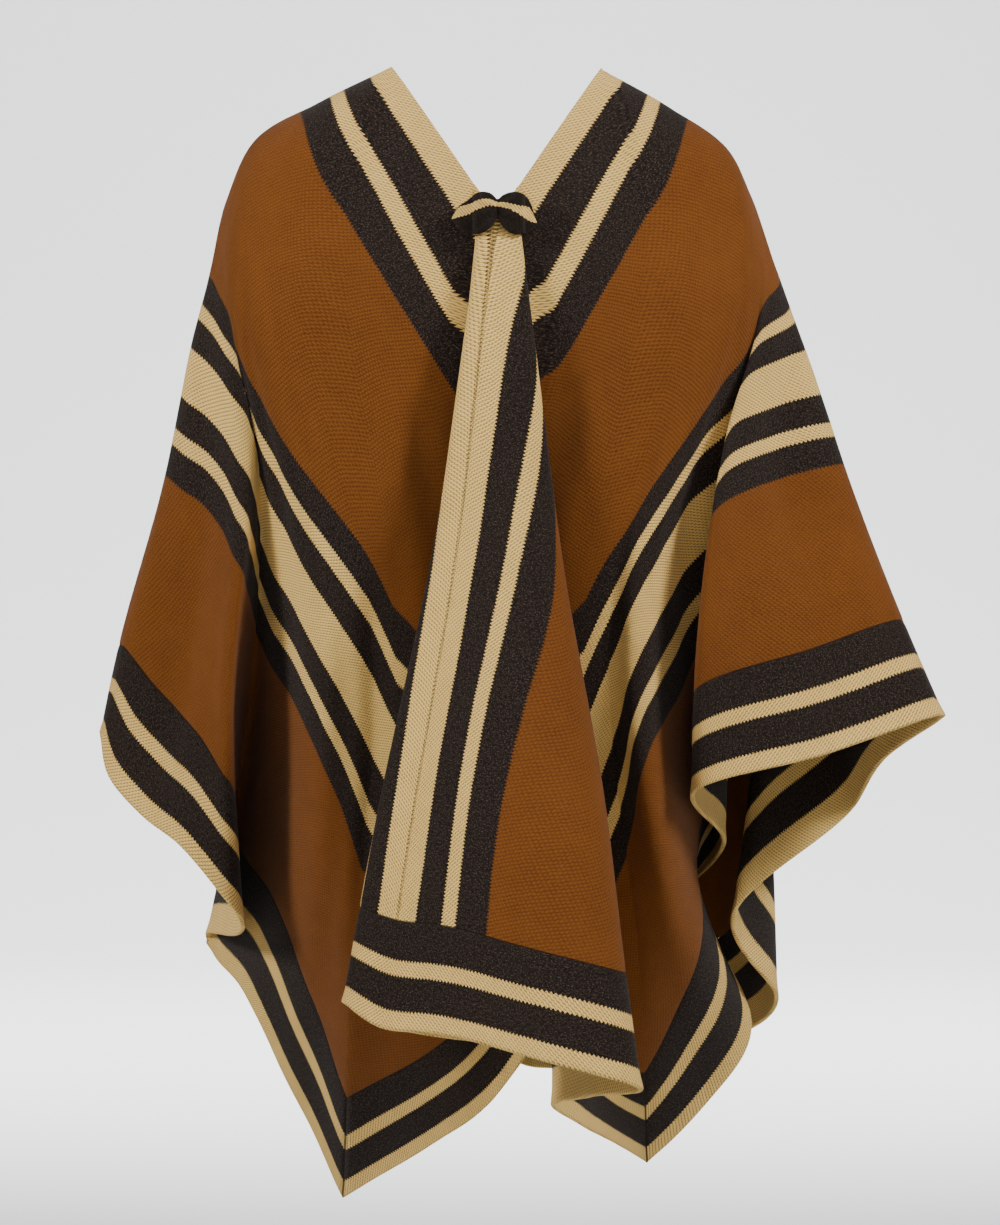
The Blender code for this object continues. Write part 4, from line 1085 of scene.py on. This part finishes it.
def tab_mesh(panels):
    """The strip as one closed form, seated on the panels, with `band` counting the lines of its stripe."""
    knots = [row.x for row in TAB]
    reach = np.linspace(knots[0], knots[-1], TAB_COLUMNS)
    rows = spline(knots, [row[1:] for row in TAB], reach)
    columns = []
    for x, (top, band_top, band_low, low, thick) in zip(reach / MILLIMETRES, rows / MILLIMETRES):
        middle, half = -(top + low) / 2, max((low - top) / 2, TAB_TIP)
        seats = [cloth_front(panels, at, z) for at in (x - TAB_SEAT_ASIDE, x, x + TAB_SEAT_ASIDE)
                 for z in np.linspace(middle - half, middle + half, TAB_SEATS)]
        back = min(seats) - TAB_CLEAR
        for turn in np.linspace(0, 2 * math.pi, TAB_TURNS, endpoint=False):
            rise, depth = math.sin(turn), math.cos(turn)
            z = middle + half * math.copysign(abs(rise) ** TAB_SQUARE[0], rise)
            angle = math.atan2(z - TAB_PINCH[1], abs(x - TAB_PINCH[0]) + TAB_FOLDS_APART)
            far = min(math.hypot(x - TAB_PINCH[0], z - TAB_PINCH[1]) / TAB_FOLDS_WHOLE, 1.0)
            fold = TAB_FOLD_DEPTH * far * math.cos(angle * TAB_FOLDS) * math.sqrt(max(-depth, 0.0))
            y = back - thick / 2 + thick / 2 * math.copysign(abs(depth) ** TAB_SQUARE[1], depth) + fold
            band = np.interp(-z, [top, band_top, band_low, low], [0.0, 1.0, 2.0, 3.0])
            columns.append((x, y, z, band))
    grid = np.arange(TAB_COLUMNS * TAB_TURNS).reshape(TAB_COLUMNS, TAB_TURNS)
    faces = [(grid[c, r], grid[c, (r + 1) % TAB_TURNS], grid[c + 1, (r + 1) % TAB_TURNS], grid[c + 1, r])
             for c in range(TAB_COLUMNS - 1) for r in range(TAB_TURNS)]
    faces += [tuple(grid[0]), tuple(grid[-1])]
    faces = [tuple(int(corner) for corner in face) for face in faces]
    mesh = closed_mesh("tab", [column[:3] for column in columns], faces)
    band = mesh.attributes.new("band", "FLOAT", "POINT")
    band.data.foreach_set("value", np.array([column[3] for column in columns], np.float32))
    return mesh


TAB_FLUFF = Grain(700.0, 3.0, 0.7)
TAB_HAIR = Grain(1600.0, 2.0, 0.6)
TAB_TOOTH = 0.11        # depth of a tooth, as a share of the width between two lines of the table
TAB_RIBS = (0.0030, 0.0036)             # how far apart its ribs lie, across and upwards
TAB_DARK_LIT = (0.35, 0.70)             # fluff at which the yarn is gap and crown
TAB_BEIGE_LIT = (0.30, 0.85)
TAB_RIB_LIT = 0.5       # how much lighter the beige is on a rib
TAB_FLECK_HAIRS = (0.60, 0.80)
TAB_FLECKS_SHOWN = 0.5
TAB_FLUFF_RELIEF = 0.7
TAB_RIB_RELIEF = 0.6
TAB_PILE = 0.0012


def tab_wool():
    """Dark brushed wool with one beige stripe, as in the border."""
    loom = Loom("tab_wool")
    where = loom.node("ShaderNodeTexCoord").outputs["Object"]
    split = loom.node("ShaderNodeSeparateXYZ", {}, [where])
    x, z = loom.value(split.outputs[0]), loom.value(split.outputs[2])
    fluff = loom.noise(where, TAB_FLUFF)
    hair = loom.noise(where, TAB_HAIR)
    band = loom.value(loom.node("ShaderNodeAttribute", {"attribute_name": "band"}).outputs["Fac"])
    counted = band + (x / TOOTH).tooth() * TAB_TOOTH
    beige = (counted > 1.0) * (counted < 2.0)
    rib = (x / TAB_RIBS[0] + z / TAB_RIBS[1]).ridge()
    dark_colour = loom.blend(DARK.gap, DARK.crown, fluff.ramp(*TAB_DARK_LIT))
    dark_colour = loom.blend(dark_colour, FLECK, hair.ramp(*TAB_FLECK_HAIRS) * TAB_FLECKS_SHOWN)
    beige_colour = loom.blend(BEIGE.gap, BEIGE.crown, (rib * TAB_RIB_LIT + fluff).ramp(*TAB_BEIGE_LIT))
    height = fluff * TAB_FLUFF_RELIEF + rib * beige * TAB_RIB_RELIEF
    return loom.finish(loom.blend(dark_colour, beige_colour, beige), height, TAB_PILE)


tab = bpy.data.objects.new("tab", tab_mesh([bpy.data.objects["cloth_panel_right"],
                                            bpy.data.objects["cloth_panel_left"]]))
bpy.context.scene.collection.objects.link(tab)
tab.data.materials.append(tab_wool())
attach(tab, "root")
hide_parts("slit_tab")

# ================================================================ floor, light and camera
# Pale studio paper that sweeps up behind and in front, a soft light at each side, weak ones from above
# and behind, and four that light the paper.
BEND_STEPS = 25
PAPER = 13.0            # origin to the upright paper, behind and in front
PALE_GREY = (0.62, 0.63, 0.63, 1.0)


def sweep(name, reach, low, high, radius, half_width):
    """A floor that turns up into a wall at the back and the front, with round bends between them."""
    bend = [(reach - radius + radius * math.sin(turn), low + radius - radius * math.cos(turn))
            for turn in np.linspace(0, math.pi / 2, BEND_STEPS)]
    bend.append((reach, high))
    profile = [(-y, z) for y, z in reversed(bend)] + bend
    mesh = bpy.data.meshes.new(name)
    corners = [(x, y, z) for y, z in profile for x in (-half_width, half_width)]
    mesh.from_pydata(corners, [], [(2 * row, 2 * row + 1, 2 * row + 3, 2 * row + 2)
                                   for row in range(len(profile) - 1)])
    mesh.shade_smooth()
    floor = bpy.data.objects.new(name, mesh)
    bpy.context.scene.collection.objects.link(floor)
    return floor


floor = sweep("studio_floor", reach=PAPER, low=-1.45, high=12.0, radius=6.0, half_width=14.0)
paper = Loom("pale_paper", roughness=0.9, sheen=0.0)
paper.set(paper.shader, {"Base Color": PALE_GREY})
floor.data.materials.append(paper.material)


def soft_light(name, place, aim, size, power):
    light = bpy.data.lights.new(name, "AREA")
    light.shape = "DISK"
    light.size = size
    light.energy = power
    lamp = bpy.data.objects.new(name, light)
    lamp.location = place
    lamp.rotation_euler = (Vector(aim) - Vector(place)).to_track_quat("-Z", "Y").to_euler()
    bpy.context.scene.collection.objects.link(lamp)


MIDDLE = (0.0, 0.0, -0.5)
soft_light("key_light", (2.6, -1.4, 1.7), MIDDLE, size=0.9, power=112)
soft_light("far_side_light", (-2.9, -1.4, 1.1), MIDDLE, size=0.9, power=92)
soft_light("front_light", (0.4, -2.2, 3.0), MIDDLE, size=0.8, power=24)
soft_light("back_light", (0.6, 2.6, 1.4), MIDDLE, size=1.4, power=20)
Backdrop = namedtuple("Backdrop", "x y wall power")
BACKDROP_LIGHTS = (     # where each stands, y of the paper that it is turned to, and its watts
    Backdrop(-2.5, 3.0, PAPER, 1500),
    Backdrop(2.5, 3.0, PAPER, 1500),
    Backdrop(-2.5, -5.0, -PAPER, 250),
    Backdrop(2.5, -5.0, -PAPER, 250),
)
BACKDROP_HEIGHT = 3.0
BACKDROP_AIM = 0.5      # height at which they point
TURNED_IN = 0.4         # share of x that is left where they point
for number, (x, y, wall, power) in enumerate(BACKDROP_LIGHTS, start=1):
    soft_light(f"backdrop_light_{number}", (x, y, BACKDROP_HEIGHT), (x * TURNED_IN, wall, BACKDROP_AIM),
               size=2.5, power=power)

STUDIO_AIR = 0.015      # light from all round
world = bpy.data.worlds.new("studio_air")
world.use_nodes = True
air = world.node_tree.nodes["Background"].inputs
air["Color"].default_value = (0.85, 0.88, 0.92, 1.0)
air["Strength"].default_value = STUDIO_AIR
bpy.context.scene.world = world

EYE = (0.0029, -4.0, -0.5227)           # level with the middle of the poncho, 4 m before it
lens = bpy.data.cameras.new("camera")
lens.lens = 150.0
lens.sensor_width = 36.0
lens.sensor_fit = "HORIZONTAL"
camera = bpy.data.objects.new("camera", lens)
camera.location = EYE
camera.rotation_euler = (math.pi / 2, 0.0, 0.0)
bpy.context.scene.collection.objects.link(camera)
bpy.context.scene.camera = camera
